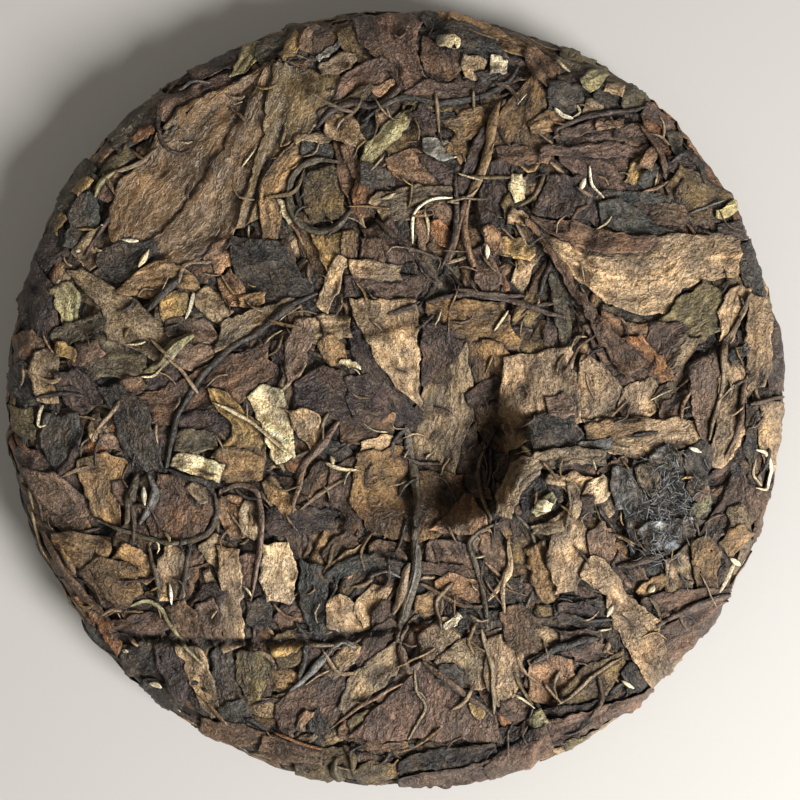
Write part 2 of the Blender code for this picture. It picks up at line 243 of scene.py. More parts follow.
# %% [markdown]
# What lies under a leaf decides its height. A heap of physics bodies could settle this way, but
# thousands of thin leaves would take hours. Instead a map of cells holds the height of the pile so
# far. A new leaf rests on a smooth cover over those cells, so that it bridges small steps as a
# stiff leaf does, and then raises the cells that it covers.

# %% The pile
class Pile:
    """Height of all that has been laid over one map, in millimetres above the core."""

    def __init__(self, half, cell):
        self.half, self.cell = half, cell
        count = int(2 * half / cell) + 1
        self.height = np.zeros((count, count))

    def cells(self, x, y):
        """Places of the map in cells, with fractions."""
        last = len(self.height) - 1
        return [np.clip((c + self.half) / self.cell, 0, last - 0.001) for c in (x, y)]

    def bed(self, x, y, reach, stiff):
        """Height of a smooth cover: over the peaks of the pile at stiff 1, among them at stiff 0."""
        fi, fj = self.cells(x, y)
        pad = 2 * reach + 1
        i0, j0 = max(int(fi.min()) - pad, 0), max(int(fj.min()) - pad, 0)
        patch = self.height[i0:int(fi.max()) + pad + 2, j0:int(fj.max()) + pad + 2]
        peaks = patch
        if stiff:
            for axis in (0, 1):
                padded = np.pad(peaks, sides(reach, reach, axis), "edge")
                peaks = np.lib.stride_tricks.sliding_window_view(padded, 2 * reach + 1, axis).max(-1)
        cover = stiff * blur(peaks, reach) + (1 - stiff) * blur(patch, reach)
        return bilinear(cover, fi - i0, fj - j0)

    def raise_to(self, x, y, height):
        fi, fj = self.cells(x, y)
        places = (np.rint(fi).astype(int).ravel(), np.rint(fj).astype(int).ravel())
        np.maximum.at(self.height, places, height.ravel())


def sides(before, after, axis):
    """Padding for one axis of a patch."""
    return [(before, after) if a == axis else (0, 0) for a in (0, 1)]


def blur(patch, reach):
    """Box average over reach cells each way."""
    width = 2 * reach + 1
    for axis in (0, 1):
        total = np.cumsum(np.pad(patch, sides(reach + 1, reach, axis), "edge"), axis)
        if axis == 0:
            patch = (total[width:] - total[:-width]) / width
        else:
            patch = (total[:, width:] - total[:, :-width]) / width
    return patch


def bilinear(patch, fi, fj):
    """Values between the cells of a patch."""
    fi = np.clip(fi, 0, patch.shape[0] - 1.001)
    fj = np.clip(fj, 0, patch.shape[1] - 1.001)
    i, j = fi.astype(int), fj.astype(int)
    u, v = fi - i, fj - j
    near = patch[i, j] * (1 - u) + patch[i + 1, j] * u
    far = patch[i, j + 1] * (1 - u) + patch[i + 1, j + 1] * u
    return near * (1 - v) + far * v


CELL = 0.4
TOP_MARGIN, UNDER_MARGIN = 4, 14        # how far each map goes on past its last leaves
top_pile = Pile(MAP_EDGE + TOP_MARGIN, CELL)
under_pile = Pile(HEEL_RADIUS + UNDER_MARGIN, CELL)
print("cells on the top map:", top_pile.height.size)

# %% [markdown]
# The colours are those of dry white tea: tan and bronze blades, olive and sage ones that dried
# green, mauve and plum undersides, charcoal tips and straw-white buds.

# %% Hues of dry leaf
def linear(*srgb):
    """Scene-linear colour from display values of 0 to 255."""
    share = np.array(srgb) / 255
    return np.where(share <= 0.04045, share / 12.92, ((share + 0.055) / 1.055) ** 2.4)


HUES = {
    "pale_tan": linear(182, 162, 134), "tan": linear(157, 135, 109), "sand": linear(167, 144, 115),
    "brown_tan": linear(144, 117, 82), "bronze": linear(124, 99, 66), "brown": linear(107, 83, 61),
    "taupe": linear(139, 122, 98), "deep_bronze": linear(110, 87, 59), "russet": linear(106, 80, 60),
    "olive_brown": linear(109, 92, 61), "olive": linear(106, 96, 64), "sage": linear(150, 144, 108),
    "mauve": linear(104, 82, 70), "dark_mauve": linear(85, 67, 57), "plum": linear(68, 54, 51),
    "charcoal": linear(60, 56, 52), "slate": linear(62, 63, 60), "silver": linear(118, 118, 117),
    "straw": linear(204, 190, 156), "cream": linear(226, 216, 192), "ochre": linear(160, 134, 86),
    "copper": linear(140, 111, 86), "amber": linear(142, 100, 64), "twig": linear(66, 51, 38),
    "grey_olive": linear(90, 83, 66), "black": linear(34, 28, 23), "dusty": linear(122, 101, 86),
    "blue_grey": linear(132, 138, 146),
}

# %% [markdown]
# A leaf starts as a grid that a bmesh extrusion makes into a thin closed slab. The slab is read
# back as arrays once for each grid size, and every leaf of that size shares them: only its points
# differ. That keeps thousands of leaves fast, where thousands of objects would not be.

# %% Slab and rod templates
templates = {}


def read_template(mesh, place_of, wall_of):
    """Arrays of a bmesh: each vertex's place in its grid, its corners, face sizes and wall faces."""
    mesh.verts.index_update()
    places = np.array([place_of(vert.co) for vert in mesh.verts])
    corners = np.array([vert.index for face in mesh.faces for vert in face.verts])
    sizes = np.array([len(face.verts) for face in mesh.faces])
    walls = np.array([wall_of(face) for face in mesh.faces])
    mesh.free()
    return places, corners, sizes, walls


def slab_template(along, across):
    """A closed slab of along by across squares, with (row, column, is upper) for each vertex."""
    key = ("slab", along, across)
    if key not in templates:
        mesh = bmesh.new()
        bmesh.ops.create_grid(mesh, x_segments=along, y_segments=across, size=1)
        extruded = bmesh.ops.extrude_face_region(mesh, geom=list(mesh.faces))["geom"]
        upper = [item for item in extruded if isinstance(item, bmesh.types.BMVert)]
        bmesh.ops.translate(mesh, verts=upper, vec=(0, 0, 1))
        bmesh.ops.recalc_face_normals(mesh, faces=list(mesh.faces))
        mesh.normal_update()
        templates[key] = read_template(
            mesh,
            lambda co: (round((co.x + 1) * along / 2), round((co.y + 1) * across / 2), round(co.z)),
            lambda face: abs(face.normal.z) < 0.5)
    return templates[key]


def rod_template(along, around):
    """A closed rod of along rings, with (ring, spoke, 0) for each vertex."""
    key = ("rod", along, around)
    if key not in templates:
        mesh = bmesh.new()
        bmesh.ops.create_cone(mesh, cap_ends=True, segments=around, radius1=1, radius2=1, depth=2)
        lengths = [edge for edge in mesh.edges if abs(edge.verts[0].co.z - edge.verts[1].co.z) > 1]
        bmesh.ops.subdivide_edges(mesh, edges=lengths, cuts=along - 1, use_grid_fill=True)
        bmesh.ops.recalc_face_normals(mesh, faces=list(mesh.faces))
        mesh.normal_update()
        templates[key] = read_template(
            mesh,
            lambda co: (round((co.z + 1) * along / 2),
                        round(math.atan2(co.y, co.x) / math.tau * around) % around, 0),
            lambda face: abs(face.normal.z) > 0.5)
    return templates[key]


# %% [markdown]
# Leaves of one kind are gathered in a bundle and become one mesh at the end, when the whole pile
# is known. Each vertex keeps its place on the map, its height, its tint and its place on its own
# leaf, which the finish uses for fibres and veins that follow the blade.

# %% Bundles
class Bundle:
    """Points and faces of many leaves or stems, waiting to become one mesh."""

    def __init__(self, name):
        self.name = name
        self.parts = []
        self.count = 0

    def add(self, pile, x, y, height, tint, along, across, template):
        """Takes the vertices of one leaf. A random offset gives each leaf its own stretch of noise."""
        _, corners, sizes, walls = template
        where = np.full(len(x), pile is under_pile)
        grid = np.stack([along, across], axis=-1) + rng.uniform(0, 400, 2)
        self.parts.append((where, x, y, height, tint, grid, corners + self.count, sizes, walls))
        self.count += len(x)

    def joined(self):
        return [np.concatenate(column) for column in zip(*self.parts)]


BUNDLES = [Bundle(name) for name in (
    "broad_veined_leaves", "satin_leaves", "smooth_leaf_pieces", "ribbed_leaves", "crumpled_leaves",
    "leaf_bed", "upper_bed", "rim_leaves", "underside_leaves",
    "stems", "rolled_leaves", "silver_buds", "shreds", "late_shreds")]
broad_leaves, satin_leaves, smooth_leaves, ribbed_leaves, crumpled_leaves = BUNDLES[:5]
leaf_bed, upper_bed, rim_leaves, under_leaves = BUNDLES[5:9]
stems, rolled_leaves, buds, shreds, late_shreds = BUNDLES[9:]

# %% [markdown]
# A blade runs between two margins. They are given as lines of a few points, because pressed leaf
# breaks at angles, and each margin and end is then torn by a finer jagged line of its own.

# %% Lines through points
HALVES = np.array([0, 0.5, 1])
TORN = 0.45                             # how far torn edges wander, in mm


def unit(steps):
    """The same steps, each of length 1."""
    return steps / np.maximum(np.linalg.norm(steps, axis=1, keepdims=True), 1e-6)


def run_to(points):
    """Distance along a line of straight stretches to each of its points."""
    return np.concatenate([[0], np.cumsum(np.hypot(*np.diff(points, axis=0).T))])


def resampled(points, shares):
    """Places along straight stretches between points, at shares of the whole length."""
    points = np.array(points, float)
    reach = run_to(points)
    return np.stack([np.interp(shares * reach[-1], reach, column) for column in points.T], axis=-1)


def curve_through(points, shares):
    """Places on a smooth curve through the points, and unit vectors to its left."""
    points = np.array(points, float)
    if len(points) == 2:
        points = resampled(points, HALVES)
    reach = run_to(points)
    tangents = np.gradient(points, reach, axis=0)
    at = shares * reach[-1]
    span = np.clip(np.searchsorted(reach, at, side="right") - 1, 0, len(points) - 2)
    length = (reach[span + 1] - reach[span])[:, None]
    t = (at - reach[span])[:, None] / length
    start, end = points[span], points[span + 1]
    out, into = tangents[span] * length, tangents[span + 1] * length
    places = ((2 * t**3 - 3 * t**2 + 1) * start + (t**3 - 2 * t**2 + t) * out
              + (3 * t**2 - 2 * t**3) * end + (t**3 - t**2) * into)
    ahead = ((6 * t**2 - 6 * t) * start + (3 * t**2 - 4 * t + 1) * out
             + (6 * t - 6 * t**2) * end + (3 * t**2 - 2 * t) * into)
    ahead = ahead / np.linalg.norm(ahead, axis=1, keepdims=True)
    return places, np.stack([-ahead[:, 1], ahead[:, 0]], axis=-1)


def run_of(points):
    """Length of a line of straight stretches."""
    return float(np.sum(np.hypot(*np.diff(np.array(points, float), axis=0).T)))


def jagged(places, spacing, span):
    """A torn line: straight between random knots, from -1 to 1."""
    knots = max(int(span / spacing), 1) + 2
    return np.interp(places, np.linspace(0, span, knots), rng.uniform(-1, 1, knots))


def torn_line(places, span):
    """A margin's wandering: slow, jagged, and here and there a bite out of it."""
    bites = np.maximum(jagged(places, 2.4, span) - 0.35, 0)
    return TORN * (jagged(places, 4.5, span) + 0.95 * jagged(places, 1.3, span) - 2.4 * bites)


# %% [markdown]
# The surface then gets the relief of its form. All dry leaf has fine crests, sharper than its
# valleys, that run along the blade, and the others come over them: long fine wrinkles on a sheet,
# broader wrinkles, ribs, folds that lap one over the next, a raised midrib with side veins, or
# crumpled crests that run every way. In each line below the first number is a height, and those
# that divide along or across are the widths of the hills that way.

# %% Relief of a blade
def relief_of(form, along, across):
    """Height of a blade's relief in mm, and how much of a crest each place is, from 0 to 1."""
    a, b = rng.uniform(0, 200, 2)
    warp = 3.0 * noise(a + along / 7, b + across / 5)
    crests = ridged(a + along / 7, b + (across + warp) / 2.1) ** 3
    pebbles = noise(b + along / 1.1, a + across / 1.1)
    sag = 0.3 * noise(a + along / 9, b + across / 7)
    fine = 0.26 * crests + 0.14 * pebbles
    if form == "sheet":
        fine = 0.10 * crests + 0.05 * pebbles
        fine = fine + 0.42 * ridged(a + along / 26, b + (across + warp) / 2.6) ** 4
        fine = fine + 0.24 * ridged(b + along / 15, a + (across + 0.6 * warp) / 1.15) ** 3
        sag = 2.0 * sag
    elif form == "wrinkled":
        fine = fine + 0.85 * ridged(a + along / 14, b + (across + 1.5 * warp) / 3.6) ** 3
        fine = fine + 0.30 * ridged(b + along / 8, a + (across + warp) / 1.7) ** 2
    elif form == "ribbed":
        fine = fine + 0.55 * np.abs(np.sin(math.pi * (across + warp) / 2.0)) ** 0.7
    elif form == "folded":
        lap = (across + warp + 0.1 * along) / 3.6
        lap = lap - np.floor(lap)
        fine = fine + 0.75 * np.minimum(lap, (1 - lap) * 6)
    elif form == "veined":
        ribs = (along - 1.1 * np.abs(across)) / 5.0
        fine = fine + 0.14 * np.exp(-((ribs - np.round(ribs)) * 5.0 / 0.6) ** 2)
        fine = fine + 0.32 * np.exp(-(across / 0.6) ** 2)
        sag = 1.5 * sag
    elif form == "crinkled":
        fine = fine + 0.65 * ridged(a + along / 3.8, b + across / 2.9) ** 2
        fine = fine + 0.35 * ridged(b + along / 1.9, a + across / 1.7) ** 2
    fine = fine - fine.min()
    return fine + sag, np.clip(fine / max(float(np.percentile(fine, 97)), 0.05), 0, 1)


# %% [markdown]
# In the pile a blade is seldom whole to look at: one end and one margin are usually caught under
# its neighbours. For the plain pieces a tuck lowers one end and one margin into the pile. Free
# margins curl up a little here and there, and catch the light.

# %% Laying one blade
SLIP, SLIP_SPACING = 1.6, 2.2           # how ragged the two ends are
CURL, CURL_MARGIN = 0.34, 0.9           # how high margins curl, and how far in the curl begins
EDGE_WEAR_AND_LIGHT_MARGIN = 0.45                      # a margin this wide is lighter or darker than its leaf: worn torn edge, painted shade under it, painted highlight where it curls
BLOTCH_WARMTH = np.array([0.10, 0.0, -0.16])
MARGIN_POINTS = 9


def lay_blade(bundle, pile, hue, form, left, right, pitch, thick=0.15, tuck=0.0, stiff=None, to_map=None):
    """Lays a blade between two margins, given in mm on the plan or on the map itself."""
    middle = (resampled(left, HALVES) + resampled(right, HALVES)) / 2
    span = max(run_of(middle), 1.0)
    rows = max(round(span / pitch), 3)
    share = np.linspace(0, 1, rows + 1)
    left, right = resampled(left, share), resampled(right, share)
    turn = np.cross(np.gradient((left + right) / 2, axis=0), left - right)
    if turn.sum() < 0:
        left, right = right, left
    half = np.maximum(np.hypot(*(left - right).T) / 2, 0.25)
    columns = max(round(2 * np.percentile(half, 90) / pitch), 2)
    aside = np.linspace(-1, 1, columns + 1)[None]

    # Torn margins, then torn ends.
    edges = [torn_line(share * span, span)[:, None] for _ in (0, 1)]
    swell_out = 1 + np.where(aside < 0, *edges) / half[:, None] * np.abs(aside)
    across = aside * half[:, None] * swell_out
    centre = (left + right)[:, None] / 2
    way = (left - right)[:, None] / (2 * half[:, None, None])
    ahead = unit(np.gradient((left + right) / 2, axis=0))[:, None]
    slip = TORN * SLIP * (jagged(across[0] + 30, SLIP_SPACING, 60) * (1 - share[:, None]) ** 3
                          + jagged(across[-1] + 30, SLIP_SPACING, 60) * share[:, None] ** 3)
    spot = centre + way * across[..., None] + ahead * slip[..., None]
    x, y = spot[..., 0], spot[..., 1]
    if to_map:
        x, y = to_map(x, y)
    along = span * share[:, None] + slip

    # Relief, free margins that curl, and a tucked foot and margin.
    relief, crest = relief_of(form, along, across)
    to_end = np.minimum(share, 1 - share)[:, None] * span
    margin = np.minimum(half[:, None] * (1 - np.abs(aside)), to_end)
    curl = smoothstep(3 * noise(along / 3.5 + rng.uniform(0, 99), np.sign(aside) * 9 + 20) - 1.5)
    lift = CURL * curl - rng.uniform(0.0, 0.2)
    relief = relief + lift * smoothstep(1 - margin / CURL_MARGIN) * (tuck == 0)
    if tuck:
        caught = smoothstep(1 - share[:, None] * 3) + 0.7 * smoothstep(aside * 2.2 - 0.9)
        relief = relief - tuck * caught

    # The larger a leaf, the stiffer it lies over the pile.
    if stiff is None:
        stiff = 0.45 + 0.5 * smoothstep(span * float(half.mean()) / 160)
    bed = pile.bed(x, y, 2, stiff)
    crown = bed + thick + relief
    fineness = math.ceil(pitch / (0.9 * pile.cell))
    pile.raise_to(*[finer(grid, fineness) for grid in (x, y, crown)])

    # Crests are lighter than valleys, partly from wear and partly as painted highlight and painted shade on
    # the relief. Blotches are warmer where they are lighter.
    blotch = noise(rng.uniform(0, 99) + along / 5, rng.uniform(0, 99) + across / 5)
    # Margins are darker or lighter: partly torn edge, partly painted shade under the edge and painted
    # highlight where it curls.
    edge_wear_and_light = rng.uniform(0.55, 1.45)
    shade = (0.70 + 0.6 * crest) * (0.50 + 0.95 * blotch)
    shade = shade * (edge_wear_and_light + (1 - edge_wear_and_light) * smoothstep(margin / EDGE_WEAR_AND_LIGHT_MARGIN))
    warm = (blotch - 0.5)[..., None] * BLOTCH_WARMTH
    tint = HUES[hue] * rng.normal(1, 0.05) * shade[..., None] * (1 + warm)

    template = slab_template(rows, columns)
    i, j, is_upper = template[0].T
    height = crown[i, j] - thick * (1 - is_upper)
    bundle.add(pile, x[i, j], y[i, j], height, tint[i, j], along[i, j], across[i, j], template)


def margins_of(points, widths):
    """Margins of a blade from its centre line and its widths at foot, middle and tip."""
    share = np.linspace(0, 1, MARGIN_POINTS)
    centre, side = curve_through(points, share)
    half = np.interp(share, [0, rng.uniform(0.35, 0.65), 1], np.array(widths) / 2)
    return centre + side * half[:, None], centre - side * half[:, None]


def finer(grid, times):
    """The same grid with times as many squares each way."""
    for _ in (0, 1):
        places = np.linspace(0, len(grid) - 1, (len(grid) - 1) * times + 1)
        i = np.minimum(places.astype(int), len(grid) - 2)
        part = (places - i)[:, None]
        grid = (grid[i] * (1 - part) + grid[i + 1] * part).T
    return grid


# %% [markdown]
# Stems, rolled leaves and buds are rods on smooth curves. A stem has ridges along it, as dry
# stalks do, a rolled leaf has deep irregular ones, and a bud swells in its middle and ends in
# points. All are pressed into the pile, so only their upper half stands out of it.

# %% Laying one rod
# For each kind: how deep its ridges are, how many it has, and how proud of the pile it lies.
RODS = {"stem": (0.12, 3, 0.40), "twig": (0.08, 2, 0.35), "roll": (0.22, 5, 0.45),
        "bud": (0.10, 4, 0.35), "shred": (0.14, 2, 0.20)}
RING_PITCH, COARSE_PITCH, FINE_SPOKES = 0.7, 1.2, 6


def lay_rod(bundle, pile, hue, kind, widths, points, to_map=None, around=9):
    """Lays a rod along points with widths at foot, middle and tip."""
    depth, ridges, proud = RODS[kind]
    span = run_of(points)
    rings = max(round(span / (RING_PITCH if around >= FINE_SPOKES else COARSE_PITCH)), 3)
    share = np.linspace(0, 1, rings + 1)
    centre, side = curve_through(points, share)
    half = np.interp(share, HALVES, np.array(widths) / 2)
    half = half * (1 + 0.22 * jagged(share * span, 3.0, span))
    if kind == "bud":
        half = half * np.sqrt(np.maximum(np.sin(math.pi * (0.04 + 0.92 * share)), 0))
    else:
        half = half * np.minimum(1, 0.45 + 4 * np.minimum(share, 1 - share))
    centre = centre + side * (0.25 * jagged(share * span, 4.0, span))[:, None]
    turn = np.linspace(0, math.tau, around, endpoint=False)
    twist = rng.uniform(0, 6) + share * span * rng.uniform(-0.12, 0.12)
    ripple = np.cos(ridges * turn[None] + twist[:, None])
    rough = noise(share[:, None] * span / 1.7 + rng.uniform(0, 99), turn[None] * 2.5)
    ring = half[:, None] * (1 + depth * ripple + depth * (rough - 0.5))
    spot = centre[:, None] + side[:, None] * (ring * np.cos(turn)[None])[..., None]
    x, y = spot[..., 0], spot[..., 1]
    if to_map:
        x, y = to_map(x, y)
    middle = pile.bed(x.mean(1), y.mean(1), 3, 0.8)
    height = (middle + half * (2 * proud - 1))[:, None] + ring * np.sin(turn)[None]
    pile.raise_to(*[finer(grid, 2) for grid in (x, y, height)])

    # Painted shade: each rod is darker on its lower side, turned into the pile, and in the grooves between its
    # ridges.
    underside_shade = 0.5 + 0.5 * smoothstep(0.5 + 0.7 * np.sin(turn)[None])
    shade = (0.8 + 0.3 * ripple) * (0.75 + 0.5 * rough) * underside_shade
    tint = HUES[hue] * rng.normal(1, 0.05) * shade[..., None]
    template = rod_template(rings, around)
    i, j, _ = template[0].T
    along = np.broadcast_to((share * span)[:, None], ring.shape)
    across = half[:, None] * np.abs(turn[None] - math.pi)
    bundle.add(pile, x[i, j], y[i, j], height[i, j], tint[i, j], along[i, j], across[i, j], template)


# %% [markdown]
# First comes the bed: a few hundred plain pieces of blade, laid at random over the whole top, the
# rim and the underside. Most of it is hidden later, but it shows in every gap between the leaves
# on top, and it is what makes those gaps look deep. Pressed neighbours lie much the same way, so
# their direction changes slowly over the map. Round the rim the pieces lie mostly along it.

# %% The bed of plain pieces
BED_HUES = {
    "brown": 9, "mauve": 8, "dark_mauve": 8, "olive_brown": 8, "plum": 7, "tan": 8, "brown_tan": 9,
    "charcoal": 6, "taupe": 7, "deep_bronze": 9, "bronze": 8, "ochre": 2, "copper": 4, "grey_olive": 5,
    "russet": 6, "amber": 3, "slate": 3, "sand": 4}
BED_FORMS = {"smooth": 0.2, "wrinkled": 0.35, "ribbed": 0.2, "crinkled": 0.15, "folded": 0.1}
BED_ODDS = np.array(list(BED_HUES.values()), float)
BED_ODDS /= BED_ODDS.sum()


def lay_piece(bundle, pile, x, y, angle, length, width, pitch):
    """Lays one plain piece about a place of the map, with its foot and one margin tucked in."""
    hue = rng.choice(list(BED_HUES), p=BED_ODDS)
    form = rng.choice(list(BED_FORMS), p=list(BED_FORMS.values()))
    half = 0.5 * length * np.array([math.cos(angle), math.sin(angle)])
    middle = np.array([x, y]) + rng.normal(0, 0.08 * length, 2)
    widths = width * np.array([rng.uniform(0.3, 1), 1, rng.uniform(0.1, 0.9)])
    left, right = margins_of([np.array([x, y]) - half, middle, np.array([x, y]) + half], widths)
    lay_blade(bundle, pile, hue, form, left, right, pitch, tuck=0.35, stiff=0)


def spread(count, near, far):
    """Places spread evenly over a ring by the golden angle, with a little scatter, in random order."""
    order = rng.permutation(count)
    radius = np.sqrt(near**2 + (far**2 - near**2) * (order + 0.5) / count)
    angle = order * math.pi * (3 - math.sqrt(5)) + rng.normal(0, 0.03, count)
    return radius * np.cos(angle), radius * np.sin(angle), angle


def flow(x, y):
    """The slowly turning direction in which neighbours lie."""
    return 2 * math.pi * float(noise(np.array(x / 34 + 9), np.array(y / 34 + 9))) + rng.normal(0, 0.5)


def lay_bed(bundle, pile, count, ring, lengths, widths, pitch):
    """Lays plain pieces over a ring of the map, along the rim where the ring has no middle."""
    for x, y, angle in zip(*spread(count, *ring)):
        turn = angle + math.pi / 2 + rng.normal(0, 0.22) if ring[0] else flow(x, y)
        lay_piece(bundle, pile, x, y, turn, rng.uniform(*lengths), rng.uniform(*widths), pitch)


lay_bed(leaf_bed, top_pile, 330, (0, SHOULDER_RADIUS), (14, 30), (7, 13), pitch=2.6)
lay_bed(upper_bed, top_pile, 330, (0, SHOULDER_RADIUS), (9, 24), (4, 9), pitch=1.0)
lay_bed(rim_leaves, top_pile, 480, (SHOULDER_RADIUS - 2, MAP_EDGE - 1), (12, 30), (2.8, 7.0), pitch=1.5)
lay_bed(under_leaves, under_pile, 430, (0, HEEL_RADIUS), (12, 28), (5, 12), pitch=2.1)
print("bed pieces:", len(leaf_bed.parts) + len(upper_bed.parts), "on top,",
      len(rim_leaves.parts), "round the rim,", len(under_leaves.parts), "below")

# %% [markdown]
# Between and over the plain pieces lie shreds: thin strips and threads of leaf and stalk that
# broke off in rolling. They are short thin rods, laid in numbers along the same flow.

# %% Shreds
SHRED_HUES = ["twig", "charcoal", "plum", "brown", "taupe", "tan", "olive_brown", "straw", "copper",
              "grey_olive", "dark_mauve", "sand"]
ANYWHERE = -9.0                         # a depth that every place passes


def lay_shreds(bundle, pile, count, ring, lengths=(4, 15), widths=(0.5, 1.7), hues=SHRED_HUES, sunk=ANYWHERE):
    """Shreds over a ring of the map, only where the pile lies at least sunk mm below its surroundings."""
    around = blur(pile.height, 7)
    for x, y, angle in zip(*spread(count, *ring)):
        i, j = (int(cell) for cell in pile.cells(x, y))
        if around[i, j] - pile.height[i, j] < sunk:
            continue
        turn = angle + math.pi / 2 + rng.normal(0, 0.4) if ring[0] else flow(x, y)
        length = rng.uniform(*lengths)
        step = 0.5 * length * np.array([math.cos(turn), math.sin(turn)])
        bend = rng.normal(0, 0.12 * length, 2)
        hue = hues[rng.integers(len(hues))]
        width = rng.uniform(*widths)
        points = [np.array([x, y]) - step, np.array([x, y]) + bend, np.array([x, y]) + step]
        lay_rod(bundle, pile, hue, "shred", (width, width, 0.6 * width), points, around=5)


lay_shreds(shreds, top_pile, 260, (0, SHOULDER_RADIUS))
lay_shreds(shreds, top_pile, 200, (SHOULDER_RADIUS, MAP_EDGE - 4))
lay_shreds(shreds, under_pile, 260, (0, HEEL_RADIUS))

# %% [markdown]
# Then the leaves that give this cake its face, from the lowest to the uppermost. Each line is one
# leaf: its hue, its form, and either its two margins, with a slash between them, or its widths at
# foot, middle and tip, a bar, and the points of its middle line. All is in units of the plan. A
# line that starts with a slash goes on with the leaf of the line above.

# %% Leaves of the upper left
LEAVES = """
grey_olive ribbed 30 38 22 | 112,142 165,98
dark_mauve ribbed 14 20 12 | 190,75 232,55
mauve wrinkled 158,118 165,95 200,84 240,70 / 166,120 190,112 218,98 246,80
grey_olive wrinkled 14 22 16 | 60,205 92,165
olive smooth 10 14 8 | 100,185 132,150
grey_olive ribbed 18 24 14 | 62,235 100,180
plum crinkled 20 26 18 | 38,264 70,235
slate crinkled 18 26 14 | 78,252 92,198
mauve ribbed 12 20 12 | 104,198 124,176
taupe crinkled 22 30 18 | 86,262 112,232
ochre smooth 6 10 5 | 58,232 68,220
ochre smooth 5 8 4 | 82,196 92,182
amber smooth 5 9 4 | 132,142 152,132
sage ribbed 234,74 238,54 246,42 256,38 / 244,72 256,60 268,48 262,38
grey_olive ribbed 16 24 14 | 258,54 312,28
deep_bronze sheet 112,242 108,218 122,182 160,150 164,122 192,103 240,80 266,62
/ 156,250 180,228 206,192 230,152 250,120 264,95 280,62
brown wrinkled 24 34 26 | 148,294 216,256
deep_bronze sheet 122,292 140,262 175,222 205,180 232,140 250,100 272,60
/ 140,295 190,268 232,237 246,200 262,160 276,110 286,62
olive_brown sheet 240,226 254,174 268,118 278,62 / 262,216 284,166 304,136 332,108 342,78
copper crinkled 16 22 14 | 212,264 232,246
brown_tan ribbed 296,142 272,165 260,190 262,228 266,238 / 322,140 298,172 282,200 277,238
charcoal wrinkled 232,246 236,275 244,292 287,303 314,292 / 233,242 262,243 284,243 292,260 314,290
charcoal smooth 98,262 108,276 122,282 142,274 / 104,250 122,245 150,243 158,247
"""

# %% Leaves of the top
LEAVES += """
brown wrinkled 281,60 290,36 306,26 / 302,68 330,46 345,22
ochre smooth 8 14 10 | 281,58 300,36
copper smooth 7 10 6 | 303,48 308,33
olive_brown wrinkled 336,36 352,60 372,66 / 352,24 372,44 382,62
mauve veined 352,18 362,44 384,66 402,98 / 424,14 416,40 420,70 434,94
mauve smooth 400,100 420,82 450,84 508,74 / 402,104 440,102 480,98 520,80
russet veined 424,40 420,60 428,74 446,79 / 444,36 464,50 466,66 450,80
brown_tan ribbed 12 24 12 | 448,20 530,50
charcoal smooth 8 14 6 | 424,16 446,30
slate smooth 430,37 446,46 470,55 502,62 / 450,24 470,26 488,38 508,60
straw crinkled 9 11 9 | 440,44 459,46
taupe smooth 16 22 14 | 464,68 484,70
charcoal smooth 10 14 8 | 478,80 500,76
cream crinkled 14 18 10 | 490,66 507,66
tan crinkled 10 18 5 | 322,70 355,57
silver smooth 4 8 4 | 318,56 336,43
mauve wrinkled 332,112 340,85 350,68 382,60 / 336,116 370,101 396,96 396,72
olive_brown wrinkled 8 12 6 | 322,118 372,88
copper smooth 6 9 5 | 374,97 392,83
bronze wrinkled 505,104 490,135 494,162 530,170 / 556,58 560,95 554,125 550,160
russet wrinkled 10 18 10 | 496,156 546,158
slate smooth 14 16 14 | 302,150 332,152
olive_brown crinkled 304,178 303,205 314,224 / 334,168 342,190 344,218
straw smooth 7 13 7 | 284,200 292,222
russet smooth 334,144 336,165 344,190 352,206 / 352,146 361,172 363,190 360,203
copper smooth 9 13 3 | 347,146 358,178
sand smooth 7 8 6 | 298,141 332,138
sand smooth 326,118 325,133 340,142 356,148 / 332,113 350,113 360,128 366,148
amber crinkled 14 24 24 | 366,182 362,216
olive_brown crinkled 396,120 384,145 390,160 / 414,110 432,135 438,150
olive smooth 3 13 8 | 406,104 452,109
sage smooth 400,112 384,127 366,146 360,172 / 412,110 402,136 382,156 366,172
plum smooth 13 18 10 | 416,112 434,130
brown_tan smooth 446,124 468,108 502,103 / 454,130 466,140 480,134
copper smooth 386,160 400,182 430,190 456,192 / 396,158 416,150 440,166 458,182
plum smooth 419,156 430,174 452,190 / 424,156 448,160 459,184
silver crinkled 12 19 10 | 424,146 456,154
bronze smooth 13 20 14 | 452,142 465,158
charcoal crinkled 18 22 14 | 362,176 388,180
taupe ribbed 452,192 415,186 378,196 372,206 / 452,200 430,206 412,218 384,222
plum ribbed 6 13 5 | 484,130 458,194
copper smooth 12 18 12 | 432,206 452,222
amber smooth 8 14 6 | 434,224 452,248
copper smooth 7 11 6 | 421,212 424,252
mauve wrinkled 26 44 34 | 376,226 402,284
russet wrinkled 16 22 16 | 372,240 370,284
ochre crinkled 314,234 318,258 332,276 / 344,234 350,252 342,280
brown_tan smooth 12 15 12 | 350,232 346,276
plum wrinkled 488,168 480,200 478,228 486,242 / 500,164 514,190 512,212 498,230
olive_brown crinkled 18 26 20 | 506,200 532,236
straw crinkled 11 17 9 | 514,175 520,202
sand crinkled 11 15 10 | 510,218 526,222
ochre crinkled 12 18 12 | 500,244 532,254
copper smooth 9 14 8 | 488,230 498,254
mauve wrinkled 14 22 16 | 478,250 492,288
"""

